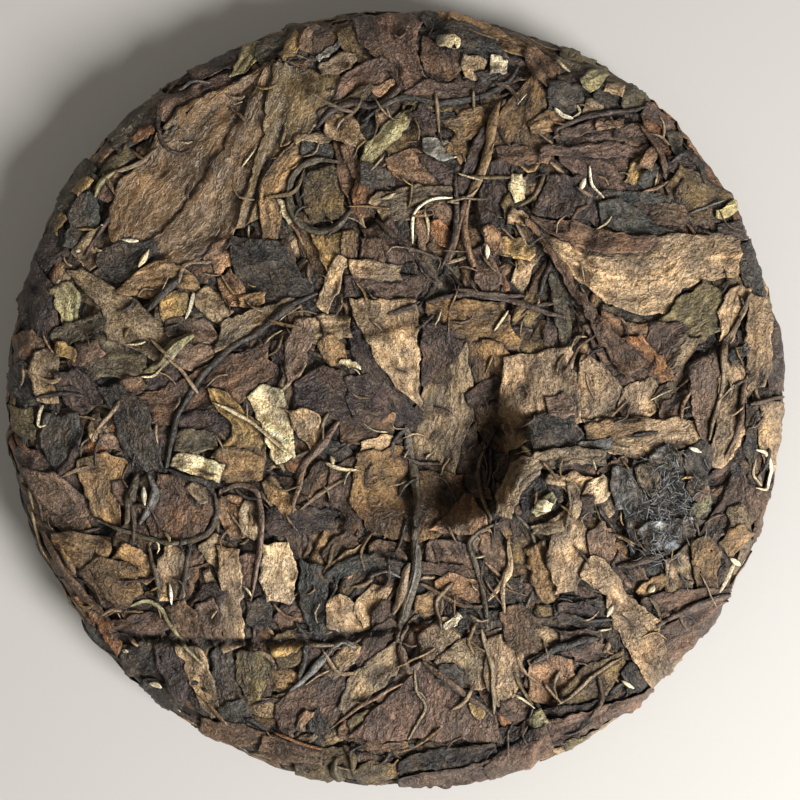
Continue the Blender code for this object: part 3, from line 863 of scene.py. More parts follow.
# %% Leaves of the upper right
LEAVES += """
olive ribbed 14 24 12 | 560,56 644,98
grey_olive wrinkled 12 20 14 | 556,66 602,84
brown wrinkled 16 22 12 | 528,50 560,96
brown smooth 10 14 8 | 556,84 600,82
charcoal crinkled 22 30 24 | 548,100 582,100
charcoal crinkled 16 24 20 | 596,96 622,103
olive crinkled 16 22 14 | 620,100 650,102
taupe crinkled 14 18 10 | 584,108 600,112
sage crinkled 13 18 8 | 584,88 603,74
sand smooth 7 10 6 | 605,90 619,96
brown_tan wrinkled 10 20 12 | 530,132 560,120
mauve wrinkled 556,134 558,160 590,192 640,192 / 600,122 640,132 654,150 650,186
mauve wrinkled 10 16 10 | 552,136 650,130
mauve ribbed 8 14 10 | 540,154 645,152
dusty wrinkled 7 12 7 | 560,136 610,122
copper smooth 6 9 5 | 596,128 622,124
amber smooth 640,112 646,140 662,168 / 650,106 670,124 671,166
mauve smooth 8 14 8 | 640,112 676,128
amber smooth 648,98 668,118 698,158 718,194 / 656,98 692,132 716,164 734,196
grey_olive smooth 9 12 9 | 672,134 676,156
plum crinkled 12 20 12 | 668,166 700,172
olive_brown wrinkled 668,190 676,210 700,222 722,218 / 676,168 704,180 722,192 730,206
brown smooth 20 26 16 | 630,211 686,214
slate smooth 7 11 6 | 600,198 670,197
plum ribbed 530,214 544,192 548,178 / 598,222 602,202 576,178
slate crinkled 600,206 606,226 632,240 654,238 / 614,200 640,210 652,224 676,232
ochre crinkled 8 14 8 | 628,184 644,158
slate smooth 6 12 6 | 642,184 658,166
copper crinkled 8 12 8 | 644,168 652,152
sage crinkled 8 12 8 | 716,214 736,206
plum crinkled 12 18 10 | 720,230 754,234
charcoal smooth 738,244 742,275 752,292 / 752,240 762,270 768,300
grey_olive crinkled 10 18 8 | 600,314 666,322
sand veined 540,234 566,246 600,250 645,240 700,234 736,238
/ 548,252 580,284 606,304 648,320 668,314 680,288 738,272
russet wrinkled 532,219 560,221 600,230 656,240 / 536,224 572,246 602,256 650,250
"""

# %% Leaves of the left side
LEAVES += """
plum wrinkled 18,300 24,330 42,348 / 38,262 58,290 58,330
brown crinkled 20 28 20 | 26,335 38,368
charcoal crinkled 24 32 20 | 18,370 36,402
taupe wrinkled 18 28 16 | 48,352 48,402
olive smooth 10,408 15,430 32,440 / 30,408 33,425 36,438
dark_mauve wrinkled 12 18 10 | 18,452 62,472
tan crinkled 20 26 18 | 80,286 112,302
grey_olive crinkled 78,346 92,374 132,380 / 100,330 142,352 148,372
mauve smooth 16 22 14 | 68,362 100,348
taupe smooth 70,272 106,312 104,334 158,359 / 84,270 140,304 178,338 162,359
sage ribbed 57,290 60,310 66,324 / 70,282 80,294 74,320
grey_olive ribbed 14 18 14 | 56,343 75,331 102,322
ochre crinkled 9 14 8 | 60,348 76,355
brown_tan ribbed 121,293 150,298 202,292 / 140,272 165,262 192,275
grey_olive crinkled 20 34 20 | 158,308 204,312
ochre smooth 16 22 14 | 164,310 190,302
taupe crinkled 14 24 16 | 200,292 226,320
copper smooth 16 24 14 | 222,276 240,302
brown_tan crinkled 10 16 10 | 240,302 266,298
dusty wrinkled 166,332 190,342 216,362 / 170,322 206,322 226,345
dusty wrinkled 170,366 200,371 216,356 / 178,350 205,344 222,352
taupe wrinkled 218,354 250,336 298,308 / 222,324 250,312 292,300
copper smooth 14 18 9 | 118,392 144,382
russet veined 126,400 160,390 215,364 262,344 / 150,422 186,426 240,402 276,374
plum wrinkled 16 26 12 | 178,426 234,420
grey_olive wrinkled 14 20 12 | 176,442 216,440
plum ribbed 60,376 66,405 80,414 / 80,370 98,385 102,402
tan crinkled 6 20 18 | 97,414 100,438
dusty smooth 8 14 8 | 100,438 122,446
charcoal smooth 98,388 118,420 124,452 160,482 / 118,384 150,406 158,444 163,480
slate crinkled 46,416 42,440 58,476 / 78,414 80,440 66,474
plum smooth 60,474 76,496 84,482 / 80,440 82,460 86,472
brown_tan wrinkled 80,462 84,490 92,514 120,527 / 108,452 128,462 116,490 119,522
mauve wrinkled 9 15 8 | 118,480 128,502
dusty smooth 22,468 44,500 66,521 / 58,474 84,498 84,514
russet veined 160,475 147,510 152,541 / 205,478 217,500 200,541
tan crinkled 7 14 8 | 192,486 206,500
ochre crinkled 212,390 214,405 238,430 212,457 / 226,392 245,415 270,430 264,462
brown_tan wrinkled 22 32 24 | 216,462 262,470
straw crinkled 12 20 14 | 176,460 222,474
straw smooth 249,397 262,425 272,450 277,465 / 260,385 284,390 290,420 296,456
"""

# %% Leaves of the middle and the hollow
LEAVES += """
mauve ribbed 18 28 20 | 345,286 418,290
sand crinkled 10 16 12 | 322,308 342,262
tan crinkled 12 20 14 | 352,268 400,274
bronze crinkled 428,304 460,300 502,303 / 430,322 470,352 518,346
bronze wrinkled 462,342 462,380 470,406 / 502,345 520,375 518,403
bronze smooth 470,402 471,425 498,450 / 519,402 518,430 508,456
dark_mauve wrinkled 444,430 446,470 470,500 / 475,425 482,460 492,500
taupe wrinkled 424,384 409,418 412,460 416,512 / 466,343 475,385 469,425 452,462 462,512
dark_mauve smooth 424,325 422,350 422,385 / 446,326 463,345 438,374
plum smooth 14 22 14 | 468,396 502,384
plum wrinkled 350,320 354,355 384,420 404,432 / 362,320 378,365 404,400 420,415
sand smooth 350,301 361,330 387,372 403,392 421,408 / 413,303 418,330 417,370 417,395 421,408
brown wrinkled 24 34 22 | 342,432 392,424
taupe crinkled 18 26 18 | 300,330 350,328
brown_tan smooth 18 26 14 | 326,340 338,362
dusty smooth 298,322 287,345 289,382 / 308,320 313,340 299,378
straw smooth 2 5 2 | 341,363 358,366
plum smooth 298,384 322,368 350,374 364,392 / 298,412 330,417 362,427 380,412
plum smooth 348,378 360,371 386,385 / 350,418 366,428 385,410
tan veined 291,411 294,425 312,449 / 302,408 321,414 320,441
tan crinkled 8 14 8 | 360,448 400,440
slate crinkled 12 20 10 | 324,446 356,462
brown wrinkled 318,462 298,490 296,513 / 335,462 330,490 326,509
mauve wrinkled 334,465 329,500 346,516 / 356,460 352,490 364,516
bronze smooth 357,454 351,480 353,505 372,532 / 402,448 412,475 414,505 412,542
deep_bronze smooth 414,474 413,510 418,540 / 460,474 470,500 455,530
copper smooth 430,532 452,514 462,498 / 492,530 484,514 470,497
plum wrinkled 262,520 268,535 330,530 / 268,508 300,506 335,512
brown_tan crinkled 10 18 10 | 268,480 290,512
"""

# %% Leaves of the right side
LEAVES += """
plum wrinkled 12 22 14 | 774,310 776,388
sand smooth 760,406 760,440 768,462 / 784,402 787,440 780,474
brown wrinkled 14 20 14 | 768,490 760,540
mauve ribbed 12 18 10 | 754,488 740,532
olive crinkled 662,322 680,300 702,284 / 690,346 722,330 738,300
taupe smooth 18 26 12 | 666,374 688,338
sand ribbed 722,340 716,312 730,288 / 730,342 742,312 750,288
tan wrinkled 752,296 745,330 750,392 / 764,298 771,345 763,386
brown wrinkled 600,330 640,345 650,330 / 600,310 630,325 662,325
mauve smooth 645,342 650,326 680,326 / 662,360 668,350 680,334
amber crinkled 616,342 636,364 662,382 / 638,336 658,354 674,380
mauve wrinkled 584,326 600,360 622,384 / 602,322 624,350 652,379
tan smooth 578,352 578,420 / 600,362 620,388 610,420
tan wrinkled 504,362 504,402 512,448 / 570,345 576,380 578,422
tan smooth 622,390 619,412 640,422 / 650,380 659,390 655,412
taupe smooth 654,398 660,414 / 668,382 677,398
mauve smooth 8 22 6 | 662,420 686,392
sand smooth 584,422 640,420 696,420 / 606,450 650,461 698,440
brown_tan wrinkled 10 18 10 | 586,432 640,424
dusty smooth 688,366 690,400 698,434 / 716,350 716,390 704,442
tan wrinkled 722,350 718,400 712,440 712,467 / 742,372 747,400 743,430 724,467
slate smooth 9 14 9 | 728,360 746,347
charcoal smooth 746,404 744,440 750,462 / 758,406 758,440 756,460
charcoal crinkled 529,420 534,450 562,456 / 544,412 570,412 582,436
dusty crinkled 14 24 14 | 546,408 572,406
silver smooth 7 10 5 | 578,447 610,442
mauve crinkled 16 28 16 | 560,478 592,470
sand crinkled 12 26 14 | 548,482 600,490
copper smooth 5 12 4 | 598,474 624,460
pale_tan crinkled 14 24 12 | 585,500 606,478
plum crinkled 16 24 14 | 570,510 592,504
silver crinkled 634,462 622,510 636,574 / 692,452 710,500 696,566
silver crinkled 20 30 20 | 622,468 630,508
blue_grey crinkled 26 44 26 | 650,508 690,500
blue_grey crinkled 24 36 22 | 640,540 690,530
silver crinkled 22 32 18 | 656,452 680,486
slate crinkled 16 26 14 | 634,556 662,574
sage crinkled 8 14 6 | 690,514 706,494
taupe ribbed 10 18 10 | 640,466 650,492
dusty crinkled 10 18 10 | 686,486 706,490
charcoal smooth 682,456 684,478 700,482 / 698,440 712,450 711,470
dark_mauve ribbed 700,532 722,500 738,468 / 712,546 736,515 747,480
taupe smooth 16 24 14 | 734,508 744,548
"""

# %% Leaves of the lower left
LEAVES += """
brown_tan crinkled 52,534 66,556 84,572 / 70,530 112,540 110,562
brown wrinkled 22 30 20 | 120,530 148,550
brown_tan crinkled 20 30 18 | 122,552 152,578
mauve wrinkled 92,592 106,614 152,602 / 84,574 110,580 142,594
bronze smooth 80,572 100,596 130,602 / 98,556 134,566 140,592
mauve wrinkled 12 24 14 | 108,630 166,622
amber smooth 76,598 95,628 116,656 / 86,598 112,625 119,650
charcoal crinkled 18 30 20 | 122,668 162,650
charcoal crinkled 18 26 16 | 140,690 182,702
plum smooth 156,645 158,670 172,697 / 172,635 184,670 185,697
charcoal wrinkled 216,640 212,680 226,716 / 230,645 238,680 240,712
taupe wrinkled 178,645 190,682 212,719 / 200,648 214,685 220,716
olive smooth 236,655 236,680 250,697 / 262,648 270,670 257,697
slate crinkled 14 24 14 | 220,716 248,706
brown wrinkled 14 22 12 | 200,728 262,740
taupe crinkled 18 28 18 | 206,540 232,570
mauve smooth 240,556 243,600 243,637 / 254,556 252,600 249,620
tan wrinkled 218,548 222,600 223,648 / 240,552 241,600 243,642
sand wrinkled 16 30 20 | 176,546 172,598
plum smooth 13 20 11 | 200,590 222,598
dusty wrinkled 16 26 14 | 204,602 216,642
brown crinkled 16 24 14 | 178,604 192,636
charcoal crinkled 16 28 18 | 248,612 272,614
copper crinkled 22 32 20 | 230,498 240,536
pale_tan crinkled 14 24 16 | 250,500 254,536
"""

# %% Leaves of the lower middle
LEAVES += """
pale_tan crinkled 264,545 262,580 270,600 / 288,545 297,570 290,600
slate wrinkled 302,562 299,600 310,632 / 329,570 325,610 330,627
brown ribbed 14 24 14 | 328,560 352,538
tan smooth 5 11 5 | 326,572 362,548
copper smooth 5 10 5 | 345,573 376,552
brown wrinkled 14 28 14 | 372,545 404,562
tan crinkled 329,602 329,626 358,634 / 340,594 360,604 368,622
sand smooth 357,600 354,612 366,626 / 372,585 390,588 380,622
mauve smooth 10 18 10 | 386,602 378,630
olive_brown crinkled 16 24 16 | 276,660 304,648
ochre crinkled 12 18 10 | 272,648 304,634
dark_mauve smooth 354,656 366,635 390,618 / 360,672 382,650 399,626
dark_mauve smooth 274,702 290,690 346,670 / 280,727 320,732 347,706
tan smooth 319,674 337,655 345,644 / 336,678 353,660 361,648
taupe smooth 339,706 352,674 372,658 398,643 / 345,714 374,695 394,675 403,655
charcoal smooth 12 18 12 | 312,712 322,732
copper smooth 7 10 5 | 302,726 309,710
brown crinkled 18 28 18 | 342,728 400,738
olive crinkled 10 18 10 | 350,726 380,714
olive_brown crinkled 24 36 24 | 296,768 352,762
brown ribbed 12 20 12 | 262,742 322,754
olive_brown smooth 14 24 12 | 356,776 400,766
mauve veined 350,737 372,712 400,688 424,658 / 502,738 494,712 464,690 430,661
ochre smooth 5 10 5 | 470,700 481,714
dusty crinkled 428,543 425,562 445,577 / 455,540 472,550 480,572
dark_mauve wrinkled 9 15 8 | 420,565 480,577
copper smooth 437,582 441,599 470,603 / 450,575 482,582 483,600
brown_tan crinkled 18 28 16 | 416,602 440,606
tan smooth 418,636 423,659 436,656 / 440,616 456,620 457,636
taupe smooth 436,660 452,686 482,690 / 470,634 484,640 486,687
charcoal crinkled 12 20 10 | 440,670 462,677
tan smooth 487,640 484,680 499,702 / 515,634 523,660 513,697
charcoal crinkled 14 24 14 | 458,619 499,618
cream smooth 6 9 6 | 446,624 460,616
brown smooth 500,612 506,640 522,652 / 520,604 534,620 531,650
dark_mauve wrinkled 10 22 12 | 500,705 540,712
"""

# %% Leaves of the lower right
LEAVES += """
brown_tan wrinkled 18 26 14 | 534,545 552,598
tan wrinkled 552,532 546,560 556,592 / 580,518 593,545 574,588
dusty smooth 588,535 590,555 610,560 / 600,520 613,530 615,548
mauve wrinkled 14 22 14 | 614,558 642,584
taupe wrinkled 662,560 666,590 686,594 / 690,543 695,560 693,592
brown_tan wrinkled 12 18 10 | 640,592 662,578
bronze smooth 690,543 690,575 706,592 / 704,534 721,553 719,590
brown_tan smooth 12 22 12 | 726,548 746,530
mauve wrinkled 640,600 680,590 737,592 / 646,620 680,614 737,598
taupe wrinkled 668,667 690,645 712,618 / 678,674 702,656 724,613
mauve wrinkled 658,632 690,612 732,600 / 670,662 690,648 716,624
charcoal smooth 556,602 555,620 600,630 622,656 / 560,598 600,599 613,615 627,652
mauve crinkled 14 24 14 | 560,642 600,640
copper smooth 528,660 530,700 560,707 / 545,654 572,662 580,692
mauve smooth 14 26 14 | 572,656 606,650
olive_brown smooth 552,702 580,672 622,651 / 560,714 600,702 626,664
charcoal smooth 620,672 626,692 642,692 / 628,660 641,667 647,682
plum ribbed 10 16 10 | 532,716 604,706
taupe ribbed 552,746 600,726 642,706 / 560,757 606,740 648,714
mauve ribbed 530,727 560,712 600,705 652,690 / 530,747 560,737 612,716 658,697
olive smooth 7 12 6 | 562,742 584,735
sage crinkled 9 14 9 | 528,722 541,712
charcoal wrinkled 400,760 440,748 492,740 / 402,772 442,766 497,758
dark_mauve ribbed 400,776 450,768 500,755 530,742 / 402,786 450,782 500,774 532,762
mauve wrinkled 482,765 512,742 542,722 / 492,776 522,765 550,745
tan smooth 579,572 602,590 614,625 630,652 650,684 / 591,556 616,568 622,592 657,620 663,642 674,674
"""

# %% [markdown]
# A small reader turns each line into a row of values. Margins are moved apart a little before the
# blade is laid, so that neighbours overlap as they do in a pressed heap.

# %% Laying the leaves of the plan
OVERLAP = 0.4
LEAF_PITCH = 0.66                       # side of a leaf's squares, in mm
BUNDLE_OF_FORM = {"veined": broad_leaves, "sheet": satin_leaves, "smooth": smooth_leaves,
                  "wrinkled": ribbed_leaves, "ribbed": ribbed_leaves, "crinkled": crumpled_leaves}


def pairs(text):
    """Points written as x,y with spaces between them."""
    return [tuple(int(number) for number in pair.split(",")) for pair in text.split()]


def rows_of(table):
    """The rows of a table: hue, form, then two margins, or widths and the points of a middle line."""
    rows = []
    for line in table.replace("\n/", " /").split("\n"):
        if "/" in line:
            start, right = line.split("/")
            hue, form, left = start.split(None, 2)
            rows.append((hue, form, pairs(left), pairs(right)))
        elif "|" in line:
            start, points = line.split("|")
            hue, form, *widths = start.split()
            rows.append((hue, form, tuple(int(width) for width in widths), *pairs(points)))
    return rows


def plan_mm(points):
    """Places of the plan in millimetres, with the second axis upward."""
    return np.array(points, float) * (1, -1) / PLAN_UNITS_PER_MM


def plan_to_map(x, y):
    return from_plan(x * PLAN_UNITS_PER_MM, -y * PLAN_UNITS_PER_MM)


def grown(margins):
    """Two margins moved apart and lengthened, so that neighbours overlap."""
    share = np.linspace(0, 1, MARGIN_POINTS)
    left, right = (resampled(line, share) for line in margins)
    aside, ahead = unit(left - right), unit(np.gradient((left + right) / 2, axis=0))
    ends = OVERLAP * (2 * share[:, None] - 1) ** 3 * ahead
    return left + OVERLAP * aside + ends, right - OVERLAP * aside + ends


def lay_on_plan(hue, form, shape, *points, thick=0.15):
    """Lays one leaf, whose shape is a list for a margin or a tuple for three widths."""
    if isinstance(shape, list):
        margins = plan_mm(shape), plan_mm(points[0])
    else:
        margins = margins_of(plan_mm(points), np.array(shape) / PLAN_UNITS_PER_MM)
    left, right = grown(margins)
    lay_blade(BUNDLE_OF_FORM[form], top_pile, hue, form, left, right, LEAF_PITCH, thick, to_map=plan_to_map)


leaves = rows_of(LEAVES)
for row in leaves:
    lay_on_plan(*row)
print("leaves on top:", len(leaves), "and the pile is now", round(float(top_pile.height.max()), 1), "mm high")

# %% [markdown]
# The stalks and the leaves that dried rolled up lie over the blades. The long dark arc on the left
# and the loop it ends in, the ridged stalk below the hollow and the big curled leaf beside it are
# the marks by which one would know this cake. The tables are written as those of the leaves are.

# %% Curled ribbons
RIBBONS = """
black smooth 22 40 26 | 522,500 556,488
sage crinkled 5 14 8 | 534,514 552,498
straw crinkled 3 9 3 | 536,506 550,508
taupe ribbed 10 21 12 | 602,458 556,457 526,468 510,490 503,518
taupe ribbed 8 14 8 | 545,478 570,486 574,505 560,522 532,530
russet ribbed 1 5 24 | 525,222 545,246 562,272 582,302 606,338 634,370
slate ribbed 12 18 10 | 330,577 352,566 378,562 402,570
plum ribbed 6 10 5 | 560,605 578,606 596,612
"""
for row in rows_of(RIBBONS):
    lay_on_plan(*row, thick=0.4)

# %% Stems and rolled leaves
RODS_ON_TOP = """
twig twig 4 4 3 | 161,102 160,135 168,150 182,154 192,150
silver twig 3 4 3 | 178,90 190,83 210,83
plum roll 5 8 6 | 318,128 330,113 350,104 375,107 392,98 399,88 390,74
charcoal roll 4 6 5 | 362,121 400,101 440,104 480,97 508,82 519,66
cream twig 3 4 3 | 452,199 430,202 416,213 412,245
straw twig 2 4 2 | 382,201 396,195
brown_tan stem 8 9 8 | 498,103 490,140 480,176 468,200
copper stem 4 7 12 | 470,196 464,228 474,268
brown stem 5 6 8 | 466,200 458,232 448,262
twig stem 6 7 6 | 376,220 400,243 428,270 438,282
twig twig 4 5 4 | 455,175 456,215 450,250 440,270
grey_olive roll 6 7 6 | 352,212 340,226 318,232 298,222 288,198 296,172 318,160 338,162
plum twig 4 5 3 | 302,210 298,190 306,174
plum twig 4 6 4 | 552,134 575,122 605,114 642,112
russet twig 4 5 3 | 638,126 655,150 666,178
copper twig 3 3 2 | 668,181 656,188 642,193
charcoal roll 5 7 5 | 668,165 682,156 694,166 702,186
cream twig 3 3 3 | 588,168 590,186 603,199
straw twig 3 3 2 | 575,106 578,114 572,119
cream twig 4 4 3 | 552,112 560,116 572,120
silver twig 2 3 2 | 690,212 722,203
sage roll 6 12 9 | 145,372 162,364 178,347 196,336
straw twig 2 3 2 | 142,376 154,376 164,368
charcoal twig 6 8 6 | 186,275 168,292 156,305 150,312
cream twig 3 4 3 | 196,294 193,308 187,320
charcoal stem 7 7 6 | 318,294 290,308 262,329 230,351 205,373 186,400 175,432 167,472
charcoal stem 4 6 5 | 168,468 185,477 205,482 217,496
grey_olive twig 5 5 4 | 215,492 217,514 206,534 185,542 155,539 125,530 94,520
cream twig 3 4 3 | 44,405 39,415 40,426 46,424
amber twig 3 4 2 | 16,437 32,452
grey_olive roll 6 9 6 | 137,474 131,500 127,524
silver roll 4 9 5 | 148,474 155,490 150,506 140,524
straw stem 4 4 3 | 214,402 240,415 268,436 296,458
dusty stem 8 9 7 | 338,421 325,441 308,461 298,478
copper twig 4 5 3 | 306,464 298,490 294,512
grey_olive stem 7 9 10 | 404,424 408,450 412,480 414,530
grey_olive stem 9 11 6 | 413,530 416,560 408,600 396,642
silver twig 2 3 2 | 416,540 414,575 404,610
taupe twig 4 6 3 | 484,444 479,465 480,490 492,520
dark_mauve twig 5 6 4 | 425,303 455,296 500,298 535,309 565,318
dark_mauve twig 4 5 4 | 452,290 490,295 524,296
straw twig 3 3 2 | 494,332 508,311
plum twig 3 4 2 | 388,316 420,303
straw twig 3 4 3 | 326,462 340,469 354,470
taupe stem 5 6 5 | 750,292 738,322 725,340 720,390 706,440
brown stem 4 6 4 | 746,375 738,420 726,456
copper twig 3 4 3 | 690,392 682,404 680,420
cream twig 4 5 3 | 756,450 768,453 773,472 768,490 756,488
straw twig 3 3 2 | 756,458 754,475 762,486
brown stem 4 5 4 | 750,404 788,396
brown stem 6 8 6 | 42,530 65,570 85,600 106,618
sage twig 4 5 4 | 132,606 148,601 160,607 172,626 186,646 201,664
grey_olive twig 4 5 4 | 150,545 156,570 160,600
charcoal stem 4 6 4 | 192,545 186,575 181,600
cream twig 2 4 2 | 171,582 173,604
dusty stem 5 6 4 | 222,492 240,484 256,489 262,510 260,550 252,600
brown stem 4 5 4 | 420,583 440,595 462,605 494,606
grey_olive stem 4 5 4 | 504,520 482,529 470,540 478,572 484,600 486,628
sand roll 4 9 4 | 508,540 510,562 500,585 488,600
sand stem 4 5 3 | 505,570 502,592 504,612
silver twig 3 4 2 | 369,577 385,571 402,576
tan roll 5 9 5 | 410,562 402,590 394,614
silver roll 5 8 6 | 290,690 310,672 330,651 342,641 356,646
charcoal twig 5 6 5 | 296,622 306,640 304,664 298,678
dusty roll 6 8 6 | 400,644 410,668 420,660
brown twig 5 6 4 | 422,660 458,688 492,714
taupe twig 3 4 3 | 415,668 416,690 425,705 418,722 408,738
copper twig 3 4 3 | 336,722 370,700 402,682
amber twig 3 4 3 | 275,730 300,740 322,747
olive roll 5 8 6 | 336,756 336,768 344,781
olive_brown roll 5 8 5 | 344,744 353,756 354,768
taupe stem 4 6 4 | 480,628 490,660 494,712
charcoal roll 6 9 7 | 530,662 560,646 597,636
taupe twig 3 4 3 | 556,702 586,680 622,656
cream twig 3 5 3 | 736,562 730,578 722,594
dark_mauve roll 6 8 5 | 616,566 640,560 664,552
mauve roll 5 8 6 | 656,626 690,610 734,596
"""
ROD_BUNDLES = {"roll": rolled_leaves, "stem": stems, "twig": stems, "bud": buds}


def lay_rods_on_plan(table):
    """Lays the rods of a table, from the lowest to the uppermost."""
    for hue, kind, widths, *points in rows_of(table):
        lay_rod(ROD_BUNDLES[kind], top_pile, hue, kind, np.array(widths) / PLAN_UNITS_PER_MM,
                plan_mm(points), plan_to_map)


lay_rods_on_plan(RODS_ON_TOP)

# %% Buds
BUDS = """
sage bud 4 8 4 | 98,200 106,185 120,173
taupe bud 3 5 3 | 118,175 140,163 160,149
cream bud 3 5 3 | 124,241 141,243
straw bud 4 6 3 | 140,268 152,252
cream bud 4 6 4 | 485,246 487,260
cream bud 4 7 4 | 584,180 580,192
cream bud 3 6 3 | 143,486 147,505
cream bud 3 5 3 | 686,447 699,453
cream bud 5 8 4 | 148,685 161,688
cream bud 3 5 3 | 120,653 127,653
cream bud 3 5 3 | 620,680 632,687
cream bud 4 7 4 | 730,559 744,567
cream bud 3 4 3 | 78,252 83,252
cream bud 3 4 3 | 102,225 106,227
straw bud 3 5 3 | 330,456 334,464
straw bud 4 7 4 | 648,592 652,584
cream bud 3 6 3 | 612,604 606,616
sand bud 4 7 4 | 608,640 604,652
"""
lay_rods_on_plan(BUDS)

# %% [markdown]
# One patch on the right is grey with down. Its fibres are the thinnest rods, strewn every way about
# its middle. Last of all, strips and threads go into the gaps that are still deep.

# %% Down and slivers
FIBRES, FIBRE_WIDTHS = 260, (0.2, 0.28, 0.15)
FUZZ_CENTRE, FUZZ_REACH = np.array([664, 508]), np.array([17, 27])
FUZZ_HUES = ["blue_grey", "silver", "blue_grey", "slate", "blue_grey"]
for _ in range(FIBRES):
    u, v = FUZZ_CENTRE + rng.normal(0, 1, 2) * FUZZ_REACH
    turn, reach = rng.uniform(0, math.tau), rng.uniform(2, 8)
    step = reach * np.array([math.cos(turn), math.sin(turn)])
    hue = FUZZ_HUES[rng.integers(len(FUZZ_HUES))]
    points = (u, v) - step, (u, v) + rng.normal(0, 0.3 * reach, 2), (u, v) + step
    lay_rod(late_shreds, top_pile, hue, "twig", FIBRE_WIDTHS, plan_mm(points), plan_to_map, around=4)

GAPS = 0, SHOULDER_RADIUS + 6
STRIP_HUES = ["tan", "brown_tan", "brown", "taupe", "dark_mauve", "twig", "olive_brown", "charcoal",
              "sand", "bronze"]
THREAD_HUES = ["straw", "sand", "tan", "ochre", "brown", "plum", "charcoal", "copper", "taupe", "twig",
               "bronze"]
lay_shreds(late_shreds, top_pile, 420, GAPS, (5, 13), (0.5, 1.4), STRIP_HUES, sunk=0.36)
lay_shreds(late_shreds, top_pile, 1000, GAPS, (2, 6.5), (0.3, 0.8), THREAD_HUES, sunk=0.32)
print("rods:", len(stems.parts), "stems,", len(rolled_leaves.parts), "rolled leaves,",
      len(buds.parts), "buds,", len(shreds.parts) + len(late_shreds.parts), "shreds")

# %% [markdown]
# Folds of the cloth bag press creases into the cake. They are not cut into any one leaf: a field
# over the whole map lowers leaves and core together, so their order in the pile stays as it was.
# Slow lumps are added the same way. Each crease is given by its depth in mm, its width and its
# points in units of the plan.

# %% Lumps and creases
CREASES = [
    (2.4, 3.2, (112, 637), (180, 640), (270, 642), (330, 638), (400, 628), (435, 618)),
    (1.3, 4, (726, 341), (698, 349), (685, 366), (678, 395), (664, 413)),
    (0.9, 4, (362, 336), (392, 328), (419, 318)),
    (1.4, 5, (402, 768), (440, 760), (490, 750), (530, 730)),
    (1.0, 3, (294, 372), (305, 362), (325, 361)),
    (0.8, 3, (240, 240), (252, 205), (266, 160)),
]


def line_on_map(points):
    """A line of the plan as places of the top map."""
    return np.stack(from_plan(*np.array(points, float).T), axis=-1)


crease_lines = [(depth, width / PLAN_UNITS_PER_MM, line_on_map(points)) for depth, width, *points in CREASES]


def distance_to(x, y, points):
    """Distance of places from a line of straight stretches."""
    nearest = np.full(x.shape, 1e9)
    for (x0, y0), (x1, y1) in zip(points, points[1:]):
        dx, dy = x1 - x0, y1 - y0
        t = np.clip(((x - x0) * dx + (y - y0) * dy) / (dx * dx + dy * dy), 0, 1)
        nearest = np.minimum(nearest, np.hypot(x - x0 - t * dx, y - y0 - t * dy))
    return nearest


def crease_depth(x, y):
    return sum(depth * np.exp(-((distance_to(x, y, line) / width) ** 2))
               for depth, width, line in crease_lines)


def press(x, y):
    """How much the pressing raises or lowers everything at a place of the top map."""
    lumps = 0.8 * (noise(x / 13 + 40, y / 13 + 40) - 0.5) + 0.5 * (noise(x / 5 + 80, y / 5) - 0.5)
    return lumps - crease_depth(x, y)


# %% [markdown]
# A crevice in real tea is dark, mostly because light seldom gets out of it and a little because fine
# dust stays in it. Here that darkness is painted shade: the pile is compared with smoothed copies of
# itself, and each vertex is darkened by how far it lies below its surroundings. A painted shadow
# also lies where the hollow's floor meets its steep wall.

# %% From the map to space
# Painted shadow along the foot of the hollow's steep wall: its line on the plan, its reach in mm and its
# strength.
SHADOW_FOOT = (346, 520), (400, 521), (440, 506), (476, 486), (494, 452), (496, 400)
SHADOW_REACH, SHADOW_SHARE = 4.4, 0.78
SHADE_WARMTH = np.array([1.0, 1.16, 1.45])            # darkening, mostly painted shade, takes more blue than red
NEAR_CELLS, NEAR_SLACK, NEAR_DEPTH = 1, 0.03, 0.24   # painted crevice shade: how wide, where it begins, how fast it falls
WIDE_CELLS, WIDE_SLACK, WIDE_DEPTH = 5, 0.25, 0.8    # the same for wider dips
CREASE_SHADE = 1.7
RIM_DARKENING = 0.22                         # the rim is darker from the shoulder outward
TONE_PIVOT, TONE_CONTRAST = 0.10, 0.16  # hues lighter than the pivot get lighter, darker ones darker
LEAST_LIGHT = 0.05                      # what the deepest crevice keeps of its hue
BLACKEST = 0.002
PRESSED = 0.72                          # what pressing leaves of the pile's height
FLOOR_SOFTNESS, FLOOR_GAP = 0.12, 0.03  # how softly the underside flattens, and what stays under it
shadow_foot = line_on_map(SHADOW_FOOT)


def painted_shade(pile, x, y, height):
    """Painted shade: 1 on open leaf, less in crevices and by the foot of the hollow's steep wall."""
    fi, fj = pile.cells(x, y)
    near = bilinear(blur(pile.height, NEAR_CELLS), fi, fj)
    wide = bilinear(blur(pile.height, WIDE_CELLS), fi, fj)
    sunk = np.maximum(near - height - NEAR_SLACK, 0) / NEAR_DEPTH
    sunk = sunk + np.maximum(wide - height - WIDE_SLACK, 0) / WIDE_DEPTH
    # painted shadow where the hollow's floor meets its steep wall
    painted_shadow = SHADOW_SHARE * np.exp(-((distance_to(x, y, shadow_foot) / SHADOW_REACH) ** 2))
    return np.exp(-sunk) * (1 - painted_shadow * (pile is top_pile))


